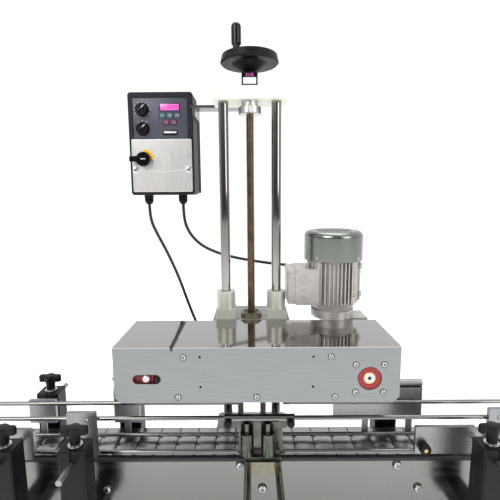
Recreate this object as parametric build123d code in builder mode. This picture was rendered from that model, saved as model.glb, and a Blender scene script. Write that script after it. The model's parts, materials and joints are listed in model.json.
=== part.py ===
from build123d import *
import os
from math import cos, sin, tan, pi, radians

# Belt-press capping machine on its conveyor bed.
# +X runs along the conveyor, +Y to the back, +Z up. The origin is the centre of the leg bolt
# pattern in the bed's underside. All sizes are in millimetres.

# ---------------------------------------------------------------- driving dimensions
# conveyor bed
bed_length = 1100
bed_height = 170          # underside to the carrying face of the chain
chain_width = 82.5
chain_pitch = 38.1
chain_thickness = 4
hinge_width = 36
hinge_depth = 8
side_sheet = 2.5
side_gap = 6              # chain edge to the outer face of the side sheet
top_flange = 18
foot_flange = 30
strip_width = 20
strip_thickness = 6
strip_overhang = 1.5
return_strip_width = 12
tie_diameter = 12
tie_spacing = 291
tie_x = -25
upper_tie_drop = 19       # below the carrying face
lower_tie_x = 16
lower_tie_drop = 66
bolt_hole = 9
leg_bolt_spacing = 900
leg_bolt_gauge = 64
joint_bolt_run = 30
joint_bolt_rise = 80
joint_bolt_inset = 35

# column
rod_diameter = 20
rod_spacing = 106
column_x = -3
column_y = 101
top_plate_width = rod_spacing + 42
top_plate_depth = 80
top_plate_thickness = 25
top_plate_height = 663    # underside above the carrying face
foot_width = rod_spacing + 44
foot_height = 70
foot_top = -12            # top of the column foot, from the carrying face

# lead screw, handwheel and indicator
screw_diameter = 16
journal_diameter = 12
screw_low_end = 130
neck_diameter = 34
neck_length = 10
collar_diameter = 45
collar_length = 16
indicator_width = 31
indicator_depth = 40
indicator_height = 24
wheel_diameter = 115
wheel_rim_height = 15
wheel_height = 733        # underside of the rim above the carrying face
hub_diameter = 28
handle_diameter = 18.5
handle_length = 46
handle_radius = 46
handle_angle = 238
handle_pin = 8

# head
head_x = 6
head_length = 496
head_depth = 146
head_bottom = 120
head_height = 101
front_plate_thickness = 6
rear_plate_thickness = 8
cover_sheet = 1.5
cover_joint_x = -140
cover_joint_gap = 6
corner_chamfer = 10
shaft_drop = 57.5         # drive shaft axis below the head's top
shaft_x = 201.5
shaft_diameter = 20
seal_diameter = 40.5
seal_hole = 42
bearing_square = 62
bearing_depth = 15
bearing_bolt_x = 48.6
bearing_bolt_z = 50
bolt_head = 10
bolt_hole_m6 = 6.6
accessory_hole = 4.2
accessory_x = 195
accessory_z = 54.5
accessory_drop = 44.5     # pattern centre below the head's top
tie_z = 130
tie_positions = (-131, 6, 142)

# press belt
belt_centres = 388
belt_width = 50
belt_y = -21
belt_thickness = 3.6
pulley_radius = 42.6
pulley_clearance = 0.3
slot_length = 49
slot_width = 17
take_up = 12
tension_screw_diameter = 8
lock_screw_drop = 23

# carriage
carriage_width = rod_spacing + 54
carriage_depth = 108
carriage_thickness = 14
carriage_leg = 60
block_size = 42
block_height = 20
bush_diameter = 40
bush_length = 37
nut_flange = 44
nut_flange_thickness = 9
nut_body = 28

# gearbox and motor
worm_centres = 30
gearbox_width = 92
gearbox_depth = 56
gearbox_standoff = 11
gearbox_flange = 8
motor_flange = 90
motor_flange_thickness = 8.5
motor_y = 112
shield_height = 23.5
frame_radius = 46
fin_height = 8
frame_length = 91
cowl_diameter = 121
cowl_length = 60
cowl_sheet = 1.2
fan_radius = 50
terminal_width = 40
terminal_lid_depth = 17
terminal_height = 75
terminal_depth = 80
knockout = 19

# guide rails
rail_diameter = 8
rail_front_y = -48
rail_rear_y = 5
rail_low = 10
rail_high = 76.5
rail_reach = 520
lane_gap = 29             # the rails' inner ends either side of the capping point
sleeve_diameter = 14
sleeve_length = 128
sleeve_x = 11
roller_diameter = 24
roller_length = 42
roller_spacing = 38
roller_x = 7
roller_pin = 10
plate_thickness = 8
front_plate_width = 52
clamp_rod_diameter = 13
clamp_rod_places = (-11, 45)
clamp_rod_drop = 20
clamp_rod_end = -150
clamp_bar_length = 68
bracket_rod = 10
bracket_rod_height = 48
post_width = 45
post_depth = 40
post_top = 70
post_stand = 46.25          # knob axis to the lane's middle, less the bed's half width
knob_span = 46

# drive controller
drive_x = -204.5
drive_front_y = 200
drive_bottom = 480
drive_width = 146
drive_height = 228
drive_depth = 158
cover_share = 118         # height of the metal lower cover
gland_diameter = 22
cable_diameter = 7

clearance = 0.3
running = 0.05

# ---------------------------------------------------------------- derived places
deck = bed_height
side_outer = chain_width / 2 + side_gap
strip_top = deck - chain_thickness
side_top = strip_top - strip_thickness
clamp_rod_z = deck - clamp_rod_drop
return_strip_top = deck - lower_tie_drop + tie_diameter / 2 + strip_thickness
head_left = head_x - head_length / 2
head_right = head_x + head_length / 2
head_front = -head_depth / 2
head_rear = head_depth / 2
head_low = deck + head_bottom
head_top = head_low + head_height
plate_top = head_top - cover_sheet
inner_front = head_front + front_plate_thickness
inner_rear = head_rear - rear_plate_thickness
shaft_z = head_top - shaft_drop
idler_x = shaft_x - belt_centres
belt_inner = pulley_radius + pulley_clearance
belt_outer = belt_inner + belt_thickness
top_low = deck + top_plate_height
top_high = top_low + top_plate_thickness
carriage_top = head_top
carriage_low = carriage_top - carriage_thickness
motor_x = shaft_x - worm_centres
gearbox_front = head_rear + gearbox_standoff
gearbox_rear = gearbox_front + gearbox_depth
gearbox_top = head_top + clearance + gearbox_flange
frame_low = gearbox_top + shield_height
frame_high = frame_low + frame_length
lane_middle = (rail_front_y + rail_rear_y) / 2
rod_places = [(column_x - rod_spacing / 2, column_y), (column_x + rod_spacing / 2, column_y)]
wheel_low = deck + wheel_height


def front_plane(y):
    """A plane at y facing the front: its x is +X, its y is +Z, and extruding goes to -Y."""
    return Plane.XZ.offset(-y)


def side_plane(x):
    """A plane at x facing +X: its x is +Y and its y is +Z."""
    return Plane.YZ.offset(x)


def level(z):
    """A plane at height z facing up."""
    return Plane.XY.offset(z)


def upright_plane(x, y):
    """An upright plane through the vertical line at (x, y), for the profile of a round part."""
    return Plane(origin=(x, y, 0), x_dir=(1, 0, 0), z_dir=(0, -1, 0))


def block(x0, x1, y0, y1, z0, z1, mode=Mode.ADD):
    """A square block between two corners, in the part being built."""
    with Locations(((x0 + x1) / 2, (y0 + y1) / 2, (z0 + z1) / 2)):
        Box(abs(x1 - x0), abs(y1 - y0), abs(z1 - z0), mode=mode)


def disc(plane, x, y, radius, length, mode=Mode.ADD):
    """A round bar or hole on a plane, centred at (x, y) there and running along its normal."""
    with BuildSketch(plane) as outline:
        with Locations((x, y)):
            Circle(radius)
    extrude(outline.sketch, amount=length, mode=mode)


def save(piece, label):
    """Label a finished piece and write it as its own STEP file."""
    piece.part.label = label
    export_step(piece.part, f"parts/{label}.step")


os.makedirs("parts", exist_ok=True)

# ---------------------------------------------------------------- conveyor bed
tie_columns = [tie_x + tie_spacing * k for k in (-1, 0, 1)]
lower_tie_columns = [lower_tie_x + tie_spacing * k for k in (-1, 0, 1)]
upper_tie_z = deck - upper_tie_drop
lower_tie_z = deck - lower_tie_drop
tie_hole = 8.4
tie_head_radius = 7
tie_head_height = 4
clamp_rod_grip = 20

# two folded side channels, open to the inside, with the bolt holes for legs and for joint plates
with BuildPart() as bed_sides:
    with BuildSketch(side_plane(-bed_length / 2)):
        for s in (-1, 1):
            with BuildLine():
                Polyline(
                    (s * side_outer, 0),
                    (s * side_outer, side_top),
                    (s * (side_outer - top_flange), side_top),
                    (s * (side_outer - top_flange), side_top - side_sheet),
                    (s * (side_outer - side_sheet), side_top - side_sheet),
                    (s * (side_outer - side_sheet), side_sheet),
                    (s * (side_outer - foot_flange), side_sheet),
                    (s * (side_outer - foot_flange), 0),
                    close=True,
                )
            make_face()
    extrude(amount=bed_length)
    with BuildSketch(level(0)):
        with GridLocations(leg_bolt_spacing, leg_bolt_gauge, 2, 2):
            Circle(bolt_hole / 2)
    extrude(amount=side_sheet, mode=Mode.SUBTRACT)
    with BuildSketch(front_plane(-side_outer)):
        for s in (-1, 1):
            with Locations((s * (bed_length / 2 - joint_bolt_inset), side_top / 2)):
                with GridLocations(joint_bolt_run, joint_bolt_rise, 2, 2):
                    Circle(bolt_hole / 2)
        with Locations(*[(x, upper_tie_z) for x in tie_columns]):
            Circle(tie_hole / 2)
        with Locations(*[(x, lower_tie_z) for x in lower_tie_columns]):
            Circle(tie_hole / 2)
        with Locations(*[(x, clamp_rod_z) for x in clamp_rod_places]):
            Circle(clamp_rod_diameter / 2 + clearance)
    extrude(amount=-2 * side_outer, mode=Mode.SUBTRACT)
save(bed_sides, "bed_sides")

# low-friction strips: two under the carrying run and two under the return run
with BuildPart() as wear_strips:
    for s in (-1, 1):
        outer = s * (side_outer + strip_overhang)
        block(-bed_length / 2, bed_length / 2, outer, outer - s * strip_width, side_top, strip_top)
        y = s * (chain_width / 2 - return_strip_width)
        block(-bed_length / 2, bed_length / 2, y, y + s * return_strip_width,
              return_strip_top - strip_thickness, return_strip_top)
save(wear_strips, "wear_strips")

# the table-top chain: the carrying run and the upside-down return run below it
with BuildPart() as chain:
    for top, under in ((deck, -1), (return_strip_top, 1)):
        plate_far = top + under * chain_thickness
        hinge_far = plate_far + under * hinge_depth
        half = chain_width / 2
        block(-bed_length / 2, bed_length / 2, -half, half, top, plate_far)
        block(-bed_length / 2, bed_length / 2, -hinge_width / 2, hinge_width / 2, plate_far, hinge_far)
    link_count = int(bed_length / chain_pitch)
    with BuildSketch(level(deck)):
        with GridLocations(chain_pitch, 1, link_count, 1):
            Rectangle(1, chain_width)
    extrude(amount=-1.5, mode=Mode.SUBTRACT)
save(chain, "chain")

# tie bars between the side channels, each with its two button screws
tie_reach = side_outer - side_sheet
with BuildPart() as cross_ties:
    for columns, z in ((tie_columns, upper_tie_z), (lower_tie_columns, lower_tie_z)):
        for x in columns:
            disc(front_plane(tie_reach), x, z, tie_diameter / 2, 2 * tie_reach)
            disc(front_plane(side_outer), x, z, 4, 2 * side_outer)
            disc(front_plane(-side_outer), x, z, tie_head_radius, tie_head_height)
            disc(front_plane(side_outer), x, z, tie_head_radius, -tie_head_height)
save(cross_ties, "cross_ties")

# ---------------------------------------------------------------- column
foot_z = deck + foot_top
with BuildPart() as column_foot:
    block(column_x - foot_width / 2, column_x + foot_width / 2, side_outer,
          column_y + rod_diameter, foot_z - foot_height, foot_z)
    fillet(column_foot.edges().filter_by(Axis.Z).group_by(Axis.Y)[-1], radius=8)
    with BuildSketch(level(foot_z)):
        with Locations(*rod_places):
            Circle(rod_diameter / 2 + running)
        for x, y in rod_places:
            with Locations((x, y + rod_diameter)):
                Rectangle(2, 2 * rod_diameter)
    extrude(amount=-foot_height, mode=Mode.SUBTRACT)
    # a wide plate spreads the clamp's load down the side channel, with pockets over the tie screws
    block(column_x - foot_width / 2, column_x + foot_width / 2, side_outer, side_outer + 10,
          deck - 150, foot_z - foot_height)
    for x, z in ((tie_x, upper_tie_z), (lower_tie_x, lower_tie_z)):
        disc(front_plane(side_outer), x, z, tie_head_radius + 1, -tie_head_height - 1, Mode.SUBTRACT)
    for x in clamp_rod_places:
        disc(front_plane(side_outer), x, clamp_rod_z, clamp_rod_diameter / 2, -clamp_rod_grip, Mode.SUBTRACT)
save(column_foot, "column_foot")

with BuildPart() as guide_rods:
    with BuildSketch(level(foot_z - foot_height)):
        with Locations(*rod_places):
            Circle(rod_diameter / 2)
    extrude(amount=top_high - foot_z + foot_height)
save(guide_rods, "guide_rods")

top_plate_front = column_y - 25
with BuildPart() as top_plate:
    block(column_x - top_plate_width / 2, column_x + top_plate_width / 2, top_plate_front,
          top_plate_front + top_plate_depth, top_low, top_high)
    fillet(top_plate.edges().filter_by(Axis.Z), radius=2)
    with BuildSketch(level(top_low)):
        with Locations(*rod_places):
            Circle(rod_diameter / 2 + running)
        with Locations((column_x, column_y)):
            Circle(journal_diameter / 2 + 1)
    extrude(amount=top_plate_thickness, mode=Mode.SUBTRACT)
    chamfer(top_plate.faces().filter_by(Axis.Z).edges().filter_by(GeomType.LINE), length=0.6)
save(top_plate, "top_plate")

# bronze bush under the top plate that carries the screw's thrust
with BuildPart() as screw_bush:
    disc(level(top_low - neck_length), column_x, column_y, neck_diameter / 2, neck_length)
    disc(level(top_low - neck_length), column_x, column_y, journal_diameter / 2 + running,
         neck_length, Mode.SUBTRACT)
save(screw_bush, "screw_bush")

# the lead screw turns as one with its thrust collar; its journal goes up to the handwheel
collar_top = top_low - neck_length - clearance
wheel_top = wheel_low + wheel_rim_height
with BuildPart() as lead_screw:
    disc(level(deck + screw_low_end), column_x, column_y, screw_diameter / 2,
         collar_top - deck - screw_low_end)
    disc(level(collar_top - collar_length), column_x, column_y, collar_diameter / 2, collar_length)
    chamfer(lead_screw.edges().filter_by(GeomType.CIRCLE).filter_by(
        lambda e: e.radius > screw_diameter), length=1.5)
    disc(level(collar_top), column_x, column_y, journal_diameter / 2, wheel_top - 4 - collar_top)
save(lead_screw, "lead_screw")

with BuildPart() as position_indicator:
    block(column_x - indicator_width / 2, column_x + indicator_width / 2,
          column_y - indicator_depth / 2 - 5, column_y + indicator_depth / 2 - 5,
          top_high, top_high + indicator_height)
    chamfer(position_indicator.faces().sort_by(Axis.Z)[-1].edges().sort_by(Axis.Y)[0], length=6)
    disc(level(top_high), column_x, column_y, journal_diameter / 2 + clearance,
         indicator_height, Mode.SUBTRACT)
save(position_indicator, "position_indicator")

# dished handwheel: a deep rim band on a cone, with a hub below and a stud for the handle
wheel_r = wheel_diameter / 2
hub_r = hub_diameter / 2
hub_low = wheel_low - 17
handle_x = column_x + handle_radius * cos(radians(handle_angle))
handle_y = column_y + handle_radius * sin(radians(handle_angle))
with BuildPart() as handwheel:
    with BuildSketch(upright_plane(column_x, column_y)):
        with BuildLine():
            Polyline(
                (journal_diameter / 2, hub_low),
                (hub_r, hub_low),
                (hub_r + 3, hub_low + 3),
                (wheel_r - 22, wheel_low - 1),
                (wheel_r - 3, wheel_low - 1),
                (wheel_r, wheel_low + 2),
                (wheel_r - 3, wheel_top),
                (wheel_r - 16, wheel_top),
                (wheel_r - 18, wheel_low + 6),
                (hub_r + 2, hub_low + 12),
                (hub_r, wheel_top - 3),
                (journal_diameter / 2, wheel_top - 3),
                close=True,
            )
        make_face()
    revolve(axis=Axis((column_x, column_y, 0), (0, 0, 1)))
    disc(level(wheel_low + 4), handle_x, handle_y, handle_pin / 2,
         wheel_rim_height - 4 + handle_length - 6)
save(handwheel, "handwheel")

handle_low = wheel_top + 1
handle_r = handle_diameter / 2
handle_top = handle_low + handle_length
with BuildPart() as wheel_handle:
    with BuildSketch(upright_plane(handle_x, handle_y)):
        with BuildLine():
            Polyline(
                (0, handle_top - handle_r),
                (0, handle_low),
                (handle_r - 2.5, handle_low),
                (handle_r - 2.5, handle_low + 5),
                (handle_r, handle_low + 8),
                (handle_r, handle_top - handle_r),
            )
            RadiusArc((handle_r, handle_top - handle_r), (0, handle_top), -handle_r)
            Line((0, handle_top), (0, handle_top - handle_r))
        make_face()
    revolve(axis=Axis((handle_x, handle_y, 0), (0, 0, 1)))
    disc(level(handle_low), handle_x, handle_y, handle_pin / 2 + running,
         handle_length - 5.5, Mode.SUBTRACT)
save(wheel_handle, "wheel_handle")

# ---------------------------------------------------------------- carriage
carriage_rear = head_rear + carriage_depth
with BuildPart() as carriage_plate:
    block(column_x - carriage_width / 2, column_x + carriage_width / 2, head_rear, carriage_rear,
          carriage_low, carriage_top)
    block(column_x - carriage_width / 2, column_x + carriage_width / 2, head_rear,
          head_rear + 12, carriage_low - carriage_leg, carriage_low)
    # limit stops hang from the plate and meet the column foot at the bottom of the travel
    stop_low = foot_z + 12
    for x in (-1, 1):
        block(column_x + 24 * x - 6, column_x + 24 * x + 6, head_rear + 2, head_rear + 12,
              stop_low, carriage_low - carriage_leg)
    with BuildSketch(level(carriage_low)):
        with Locations(*rod_places):
            Circle(rod_diameter / 2 + 1)
        with Locations((column_x, column_y)):
            Circle(nut_body / 2 + running)
    extrude(amount=carriage_thickness, mode=Mode.SUBTRACT)
save(carriage_plate, "carriage_plate")

# square-flanged guide bushes on the carriage plate, bored to run on the rods
with BuildPart() as guide_bushes:
    with BuildSketch(level(carriage_top)):
        with Locations(*rod_places):
            Rectangle(block_size, block_size)
    extrude(amount=block_height)
    fillet(guide_bushes.edges().filter_by(Axis.Z), radius=1.5)
    with BuildSketch(level(carriage_top + block_height)):
        with Locations(*rod_places):
            Circle(bush_diameter / 2)
    extrude(amount=bush_length)
    chamfer(guide_bushes.faces().sort_by(Axis.Z)[-2:].edges(), length=1)
    with BuildSketch(level(carriage_top)):
        with Locations(*rod_places):
            Circle(rod_diameter / 2 + running)
    extrude(amount=block_height + bush_length, mode=Mode.SUBTRACT)
save(guide_bushes, "guide_bushes")

nut_bolt_radius = 16.5
with BuildPart() as lead_nut:
    disc(level(carriage_low), column_x, column_y, nut_body / 2, carriage_thickness)
    disc(level(carriage_top), column_x, column_y, nut_flange / 2, nut_flange_thickness)
    with BuildSketch(level(carriage_top + nut_flange_thickness)):
        with Locations((column_x, column_y)):
            with PolarLocations(nut_bolt_radius, 4, start_angle=45):
                Circle(3.5)
    extrude(amount=3)
    disc(level(carriage_low), column_x, column_y, screw_diameter / 2 + 2 * running,
         carriage_thickness + nut_flange_thickness, Mode.SUBTRACT)
save(lead_nut, "lead_nut")

# ---------------------------------------------------------------- head
screw_spots = [(-120, head_top - 18), (134, head_top - 18)] + [(x, deck + tie_z) for x in tie_positions]
slot_x = idler_x + 2


def head_outline(y):
    """The outline that both head plates share, with its two lower corners cut off."""
    with BuildSketch(front_plane(y)) as outline:
        with BuildLine():
            Polyline(
                (head_left + corner_chamfer, head_low),
                (head_right - corner_chamfer, head_low),
                (head_right, head_low + corner_chamfer),
                (head_right, plate_top),
                (head_left, plate_top),
                (head_left, head_low + corner_chamfer),
                close=True,
            )
        make_face()
    return outline.sketch


def head_holes(y, bearing_hole):
    """The axle slot, the bearing hole and the screw holes, as one sketch on a plate's front."""
    with BuildSketch(front_plane(y)) as holes:
        with Locations((slot_x, shaft_z)):
            SlotOverall(slot_length, slot_width)
        with Locations((shaft_x, shaft_z)):
            Circle(bearing_hole / 2)
            with GridLocations(bearing_bolt_x, bearing_bolt_z, 2, 2):
                Circle(bolt_hole_m6 / 2)
        with Locations(*screw_spots):
            Circle(bolt_hole_m6 / 2)
    return holes.sketch


with BuildPart() as front_plate:
    extrude(head_outline(head_front), amount=-front_plate_thickness)
    extrude(head_holes(head_front, seal_hole), amount=-front_plate_thickness, mode=Mode.SUBTRACT)
    with BuildSketch(front_plane(head_front)):
        with Locations((head_x, head_top - accessory_drop)):
            with GridLocations(accessory_x, accessory_z, 2, 2):
                Circle(accessory_hole / 2)
    extrude(amount=-front_plate_thickness, mode=Mode.SUBTRACT)
save(front_plate, "front_plate")

with BuildPart() as rear_plate:
    extrude(head_outline(inner_rear), amount=-rear_plate_thickness)
    extrude(head_holes(inner_rear, shaft_diameter + 2), amount=-rear_plate_thickness, mode=Mode.SUBTRACT)
save(rear_plate, "rear_plate")

# two folded covers lie on the plates, with a joint bar under the gap between them
cover_drop = 86
screw_lines = (inner_front + 6, inner_rear - 6)
with BuildPart() as top_covers:
    for side, inner in ((head_left, cover_joint_x - cover_joint_gap / 2),
                        (head_right, cover_joint_x + cover_joint_gap / 2)):
        block(side, inner, head_front, head_rear, plate_top, head_top)
        inward = cover_sheet if side < inner else -cover_sheet
        block(side, side + inward, inner_front + clearance, inner_rear - clearance,
              plate_top - cover_drop, plate_top)
    for y in screw_lines:
        for z in (shaft_z, shaft_z - lock_screw_drop):
            disc(side_plane(head_left), y, z, tension_screw_diameter / 2 + clearance, cover_sheet,
                 Mode.SUBTRACT)
save(top_covers, "top_covers")

# button screws: five on each head plate and four round the drive bearing
with BuildPart() as plate_screws:
    bearing_spots = [(shaft_x + bearing_bolt_x / 2 * i, shaft_z + bearing_bolt_z / 2 * j)
                     for i in (-1, 1) for j in (-1, 1)]
    for x, z in screw_spots + bearing_spots:
        disc(front_plane(head_front), x, z, bolt_head / 2, 2.5)
        disc(front_plane(head_front), x, z, 3, -front_plate_thickness)
    for x, z in screw_spots:
        disc(front_plane(inner_rear), x, z, 3, -rear_plate_thickness)
        disc(front_plane(head_rear), x, z, bolt_head / 2, -2)
    # lock screws of the tension screws, in the left end
    for y in screw_lines:
        disc(side_plane(head_left), y, shaft_z - lock_screw_drop, 6.5, -6)
        disc(side_plane(head_left), y, shaft_z - lock_screw_drop, tension_screw_diameter / 2, 8)
save(plate_screws, "plate_screws")

# spacer bars between the plates, and the small blocks behind the upper screws
with BuildPart() as head_ties:
    for x in tie_positions:
        disc(front_plane(inner_front), x, deck + tie_z, tie_diameter / 2, inner_front - inner_rear)
    for x, z in screw_spots[:2]:
        block(x - 8, x + 8, inner_front, inner_front + 12, z - 8, plate_top)
        block(x - 8, x + 8, inner_rear - 12, inner_rear, z - 8, plate_top)
save(head_ties, "head_ties")

# the shoe holds the belt's lower run flat while it presses the caps
shoe_low = shaft_z - belt_inner + clearance
belt_front = belt_y - belt_width / 2
belt_rear = belt_y + belt_width / 2
shoe_left = tie_positions[0] - 14
shoe_right = tie_positions[-1] + 12
with BuildPart() as press_shoe:
    block(shoe_left, shoe_right, belt_front + 1, belt_rear - 1, shoe_low, deck + tie_z + 9)
    with BuildSketch(front_plane(belt_front)):
        with Locations(*[(x, deck + tie_z) for x in tie_positions]):
            Circle(tie_diameter / 2 + running)
    extrude(amount=-belt_width, mode=Mode.SUBTRACT)
    chamfer(press_shoe.faces().sort_by(Axis.Z)[0].edges().filter_by(Axis.Y), length=1.5)
    # its left end is hollowed, so the idler pulley clears it at full take-up
    disc(front_plane(belt_front), shaft_x - belt_centres + take_up, shaft_z, pulley_radius + 1,
         -belt_width, Mode.SUBTRACT)
save(press_shoe, "press_shoe")

# square flange housings for the drive shaft's bearings, one behind each plate
bearing_bore = shaft_diameter / 2 + running
with BuildPart() as shaft_bearings:
    for y0, y1 in ((inner_front, inner_front + bearing_depth), (inner_rear - bearing_depth, inner_rear)):
        block(shaft_x - bearing_square / 2, shaft_x + bearing_square / 2, y0, y1,
              shaft_z - bearing_square / 2, min(shaft_z + bearing_square / 2, plate_top - 1))
    fillet(shaft_bearings.edges().filter_by(Axis.Y), radius=6)
    disc(front_plane(inner_front), shaft_x, shaft_z, bearing_bore, inner_front - inner_rear,
         Mode.SUBTRACT)
save(shaft_bearings, "shaft_bearings")

with BuildPart() as seal_ring:
    disc(front_plane(inner_front), shaft_x, shaft_z, seal_diameter / 2, front_plate_thickness - 0.5)
    disc(front_plane(inner_front), shaft_x, shaft_z, shaft_diameter / 2 + clearance,
         front_plate_thickness, Mode.SUBTRACT)
    fillet(seal_ring.faces().sort_by(Axis.Y)[0].edges(), radius=1.2)
save(seal_ring, "seal_ring")

# ---------------------------------------------------------------- drive inside the head
pulley_gap = 1.5
pulley_front = belt_front - pulley_gap
pulley_width = belt_width + 2 * pulley_gap
with BuildPart() as press_belt:
    with BuildSketch(front_plane(belt_front)):
        with Locations(((shaft_x + idler_x) / 2, shaft_z)):
            SlotCenterToCenter(belt_centres, 2 * belt_outer)
            SlotCenterToCenter(belt_centres, 2 * belt_inner, mode=Mode.SUBTRACT)
    extrude(amount=-belt_width)
save(press_belt, "press_belt")

journal_step = gearbox_front + 12
wheel_bore = 7
with BuildPart() as drive_shaft:
    disc(front_plane(head_front + 1), shaft_x, shaft_z, shaft_diameter / 2, head_front + 1 - journal_step)
    disc(front_plane(journal_step), shaft_x, shaft_z, wheel_bore, journal_step - gearbox_rear + 2)
    chamfer(drive_shaft.faces().sort_by(Axis.Y)[0].edges(), length=1)
save(drive_shaft, "drive_shaft")

flange_lip = 2.6
with BuildPart() as drive_pulley:
    disc(front_plane(pulley_front), shaft_x, shaft_z, pulley_radius, -pulley_width)
    for y in (pulley_front, pulley_front + pulley_width - pulley_gap + clearance):
        disc(front_plane(y), shaft_x, shaft_z, pulley_radius + flange_lip, -pulley_gap + clearance)
    disc(front_plane(pulley_front), shaft_x, shaft_z, shaft_diameter / 2, -pulley_width, Mode.SUBTRACT)
save(drive_pulley, "drive_pulley")

axle_diameter = 16
with BuildPart() as idler_pulley:
    disc(front_plane(pulley_front), idler_x, shaft_z, pulley_radius, -pulley_width)
    disc(front_plane(pulley_front), idler_x, shaft_z, axle_diameter / 2 + running, -pulley_width,
         Mode.SUBTRACT)
save(idler_pulley, "idler_pulley")

# the yoke: the idler's axle between two slide blocks, each pulled by its own tension screw
yoke_wall = 10
cheek_left = head_left + cover_sheet + 14
cheek_places = (inner_front + 1, inner_rear - 1 - yoke_wall)
with BuildPart() as tension_yoke:
    disc(front_plane(head_front + 2), idler_x, shaft_z, axle_diameter / 2, -head_depth + 4)
    for y in cheek_places:
        block(cheek_left, idler_x + 12, y, y + yoke_wall, shaft_z - 12, shaft_z + 12)
save(tension_yoke, "tension_yoke")

for label, y in zip(("tension_screw_front", "tension_screw_rear"), cheek_places):
    with BuildPart() as tension_screw:
        disc(side_plane(head_left), y + yoke_wall / 2, shaft_z, 6.5, -6)
        disc(side_plane(head_left), y + yoke_wall / 2, shaft_z, tension_screw_diameter / 2,
             cheek_left - head_left - clearance)
        chamfer(tension_screw.faces().sort_by(Axis.X)[0].edges(), length=0.8)
    save(tension_screw, label)

# ---------------------------------------------------------------- gearbox and motor
wheel_radius = 21
worm_radius = worm_centres - wheel_radius - 0.5
wheel_face = 18
worm_length = 34
motor_shaft_radius = 5.5
rotor_radius = 27
rotor_length = 62
with BuildPart() as gearbox_housing:
    disc(front_plane(head_rear), shaft_x, shaft_z, 38, -gearbox_standoff)
    block(shaft_x - gearbox_width + 40, shaft_x + 40, gearbox_front, gearbox_rear, shaft_z - 40,
          gearbox_top - gearbox_flange)
    fillet(gearbox_housing.edges().filter_by(Axis.Y).group_by(Axis.Z)[0], radius=24)
    disc(level(gearbox_top - gearbox_flange), motor_x, motor_y, motor_flange / 2, gearbox_flange)
    disc(front_plane(gearbox_rear), shaft_x, shaft_z, 30, -5)
    disc(front_plane(motor_y - wheel_face / 2 - 1), shaft_x, shaft_z, wheel_radius + 2, -wheel_face - 2,
         Mode.SUBTRACT)
    disc(level(shaft_z - worm_length / 2 - 2), motor_x, motor_y, worm_radius + 1.5,
         gearbox_top - shaft_z + worm_length / 2 + 2, Mode.SUBTRACT)
    disc(front_plane(head_rear), shaft_x, shaft_z, shaft_diameter / 2 + clearance,
         -(journal_step - head_rear + 1), Mode.SUBTRACT)
    disc(front_plane(journal_step), shaft_x, shaft_z, wheel_bore + clearance, -gearbox_depth - 20,
         Mode.SUBTRACT)
save(gearbox_housing, "gearbox_housing")

with BuildPart() as worm_wheel:
    disc(front_plane(motor_y - wheel_face / 2), shaft_x, shaft_z, wheel_radius, -wheel_face)
    disc(front_plane(motor_y - wheel_face / 2), shaft_x, shaft_z, wheel_bore, -wheel_face, Mode.SUBTRACT)
save(worm_wheel, "worm_wheel")

# end shield: the round flange on the gearbox, tapering out to the finned frame
with BuildPart() as motor_shield:
    disc(level(gearbox_top), motor_x, motor_y, motor_flange / 2, motor_flange_thickness)
    with BuildSketch(level(gearbox_top + motor_flange_thickness)):
        with Locations((motor_x, motor_y)):
            Circle(motor_flange / 2 - 3)
    with BuildSketch(level(frame_low)):
        with Locations((motor_x, motor_y)):
            Circle(frame_radius + 3)
    loft()
    disc(level(gearbox_top), motor_x, motor_y, worm_radius + 1.5, shield_height, Mode.SUBTRACT)
save(motor_shield, "motor_shield")

# finned frame with its cast terminal box; fins run up the sides and the back
fin_pitch = 8
fin_thickness = 2.4
fin_reach = frame_radius + fin_height
terminal_low = frame_low
terminal_face = motor_y - terminal_depth / 2
box_left = motor_x - frame_radius - terminal_width + 3
terminal_rear = terminal_face + terminal_depth
terminal_gland_x = box_left + 22
terminal_gland_z = terminal_low + 56
terminal_gland_length = 16
with BuildPart() as motor_body:
    disc(level(frame_low), motor_x, motor_y, frame_radius, frame_length)
    with BuildSketch(level(frame_low + 2)):
        with Locations((motor_x, motor_y)):
            with GridLocations(fin_pitch, 1, 9, 1):
                Rectangle(fin_thickness, 2 * fin_reach)
            with GridLocations(1, fin_pitch, 1, 9):
                Rectangle(2 * fin_reach, fin_thickness)
            Circle(fin_reach, mode=Mode.INTERSECT)
    extrude(amount=frame_length - 4)
    block(box_left, motor_x - frame_radius + 12, terminal_face, terminal_face + terminal_depth,
          terminal_low, terminal_low + terminal_height)
    # screw bosses for the end shields, down the two right-hand corners and the left rear one
    with BuildSketch(level(frame_low)):
        with Locations((motor_x, motor_y)):
            with PolarLocations(frame_radius + 3, 4, start_angle=45):
                Circle(6)
    extrude(amount=16)
    with BuildSketch(level(frame_low + frame_length - 16)):
        with Locations((motor_x, motor_y)):
            with PolarLocations(frame_radius + 3, 4, start_angle=45):
                Circle(6)
    extrude(amount=16)
    for z in (terminal_low + 23, terminal_low + 53):
        disc(front_plane(terminal_face), box_left + 25, z, knockout / 2, 1.5)
        disc(front_plane(terminal_face - 1.5), box_left + 25, z, knockout / 2 - 3.5, -1, Mode.SUBTRACT)
    disc(front_plane(terminal_rear), terminal_gland_x, terminal_gland_z, 9, -terminal_gland_length)
    disc(level(frame_low), motor_x, motor_y, rotor_radius + 1, frame_length, Mode.SUBTRACT)
save(motor_body, "motor_body")

with BuildPart() as terminal_lid:
    block(box_left - terminal_lid_depth, box_left, terminal_face + 2, terminal_face + terminal_depth - 2,
          terminal_low + 2, terminal_low + terminal_height - 2)
    fillet(terminal_lid.faces().sort_by(Axis.X)[0].edges(), radius=5)
    for z in (terminal_low + 10, terminal_low + terminal_height - 16):
        block(box_left - terminal_lid_depth + 3, box_left, terminal_face - 0.5, terminal_face + 4, z, z + 6)
save(terminal_lid, "terminal_lid")

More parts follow.
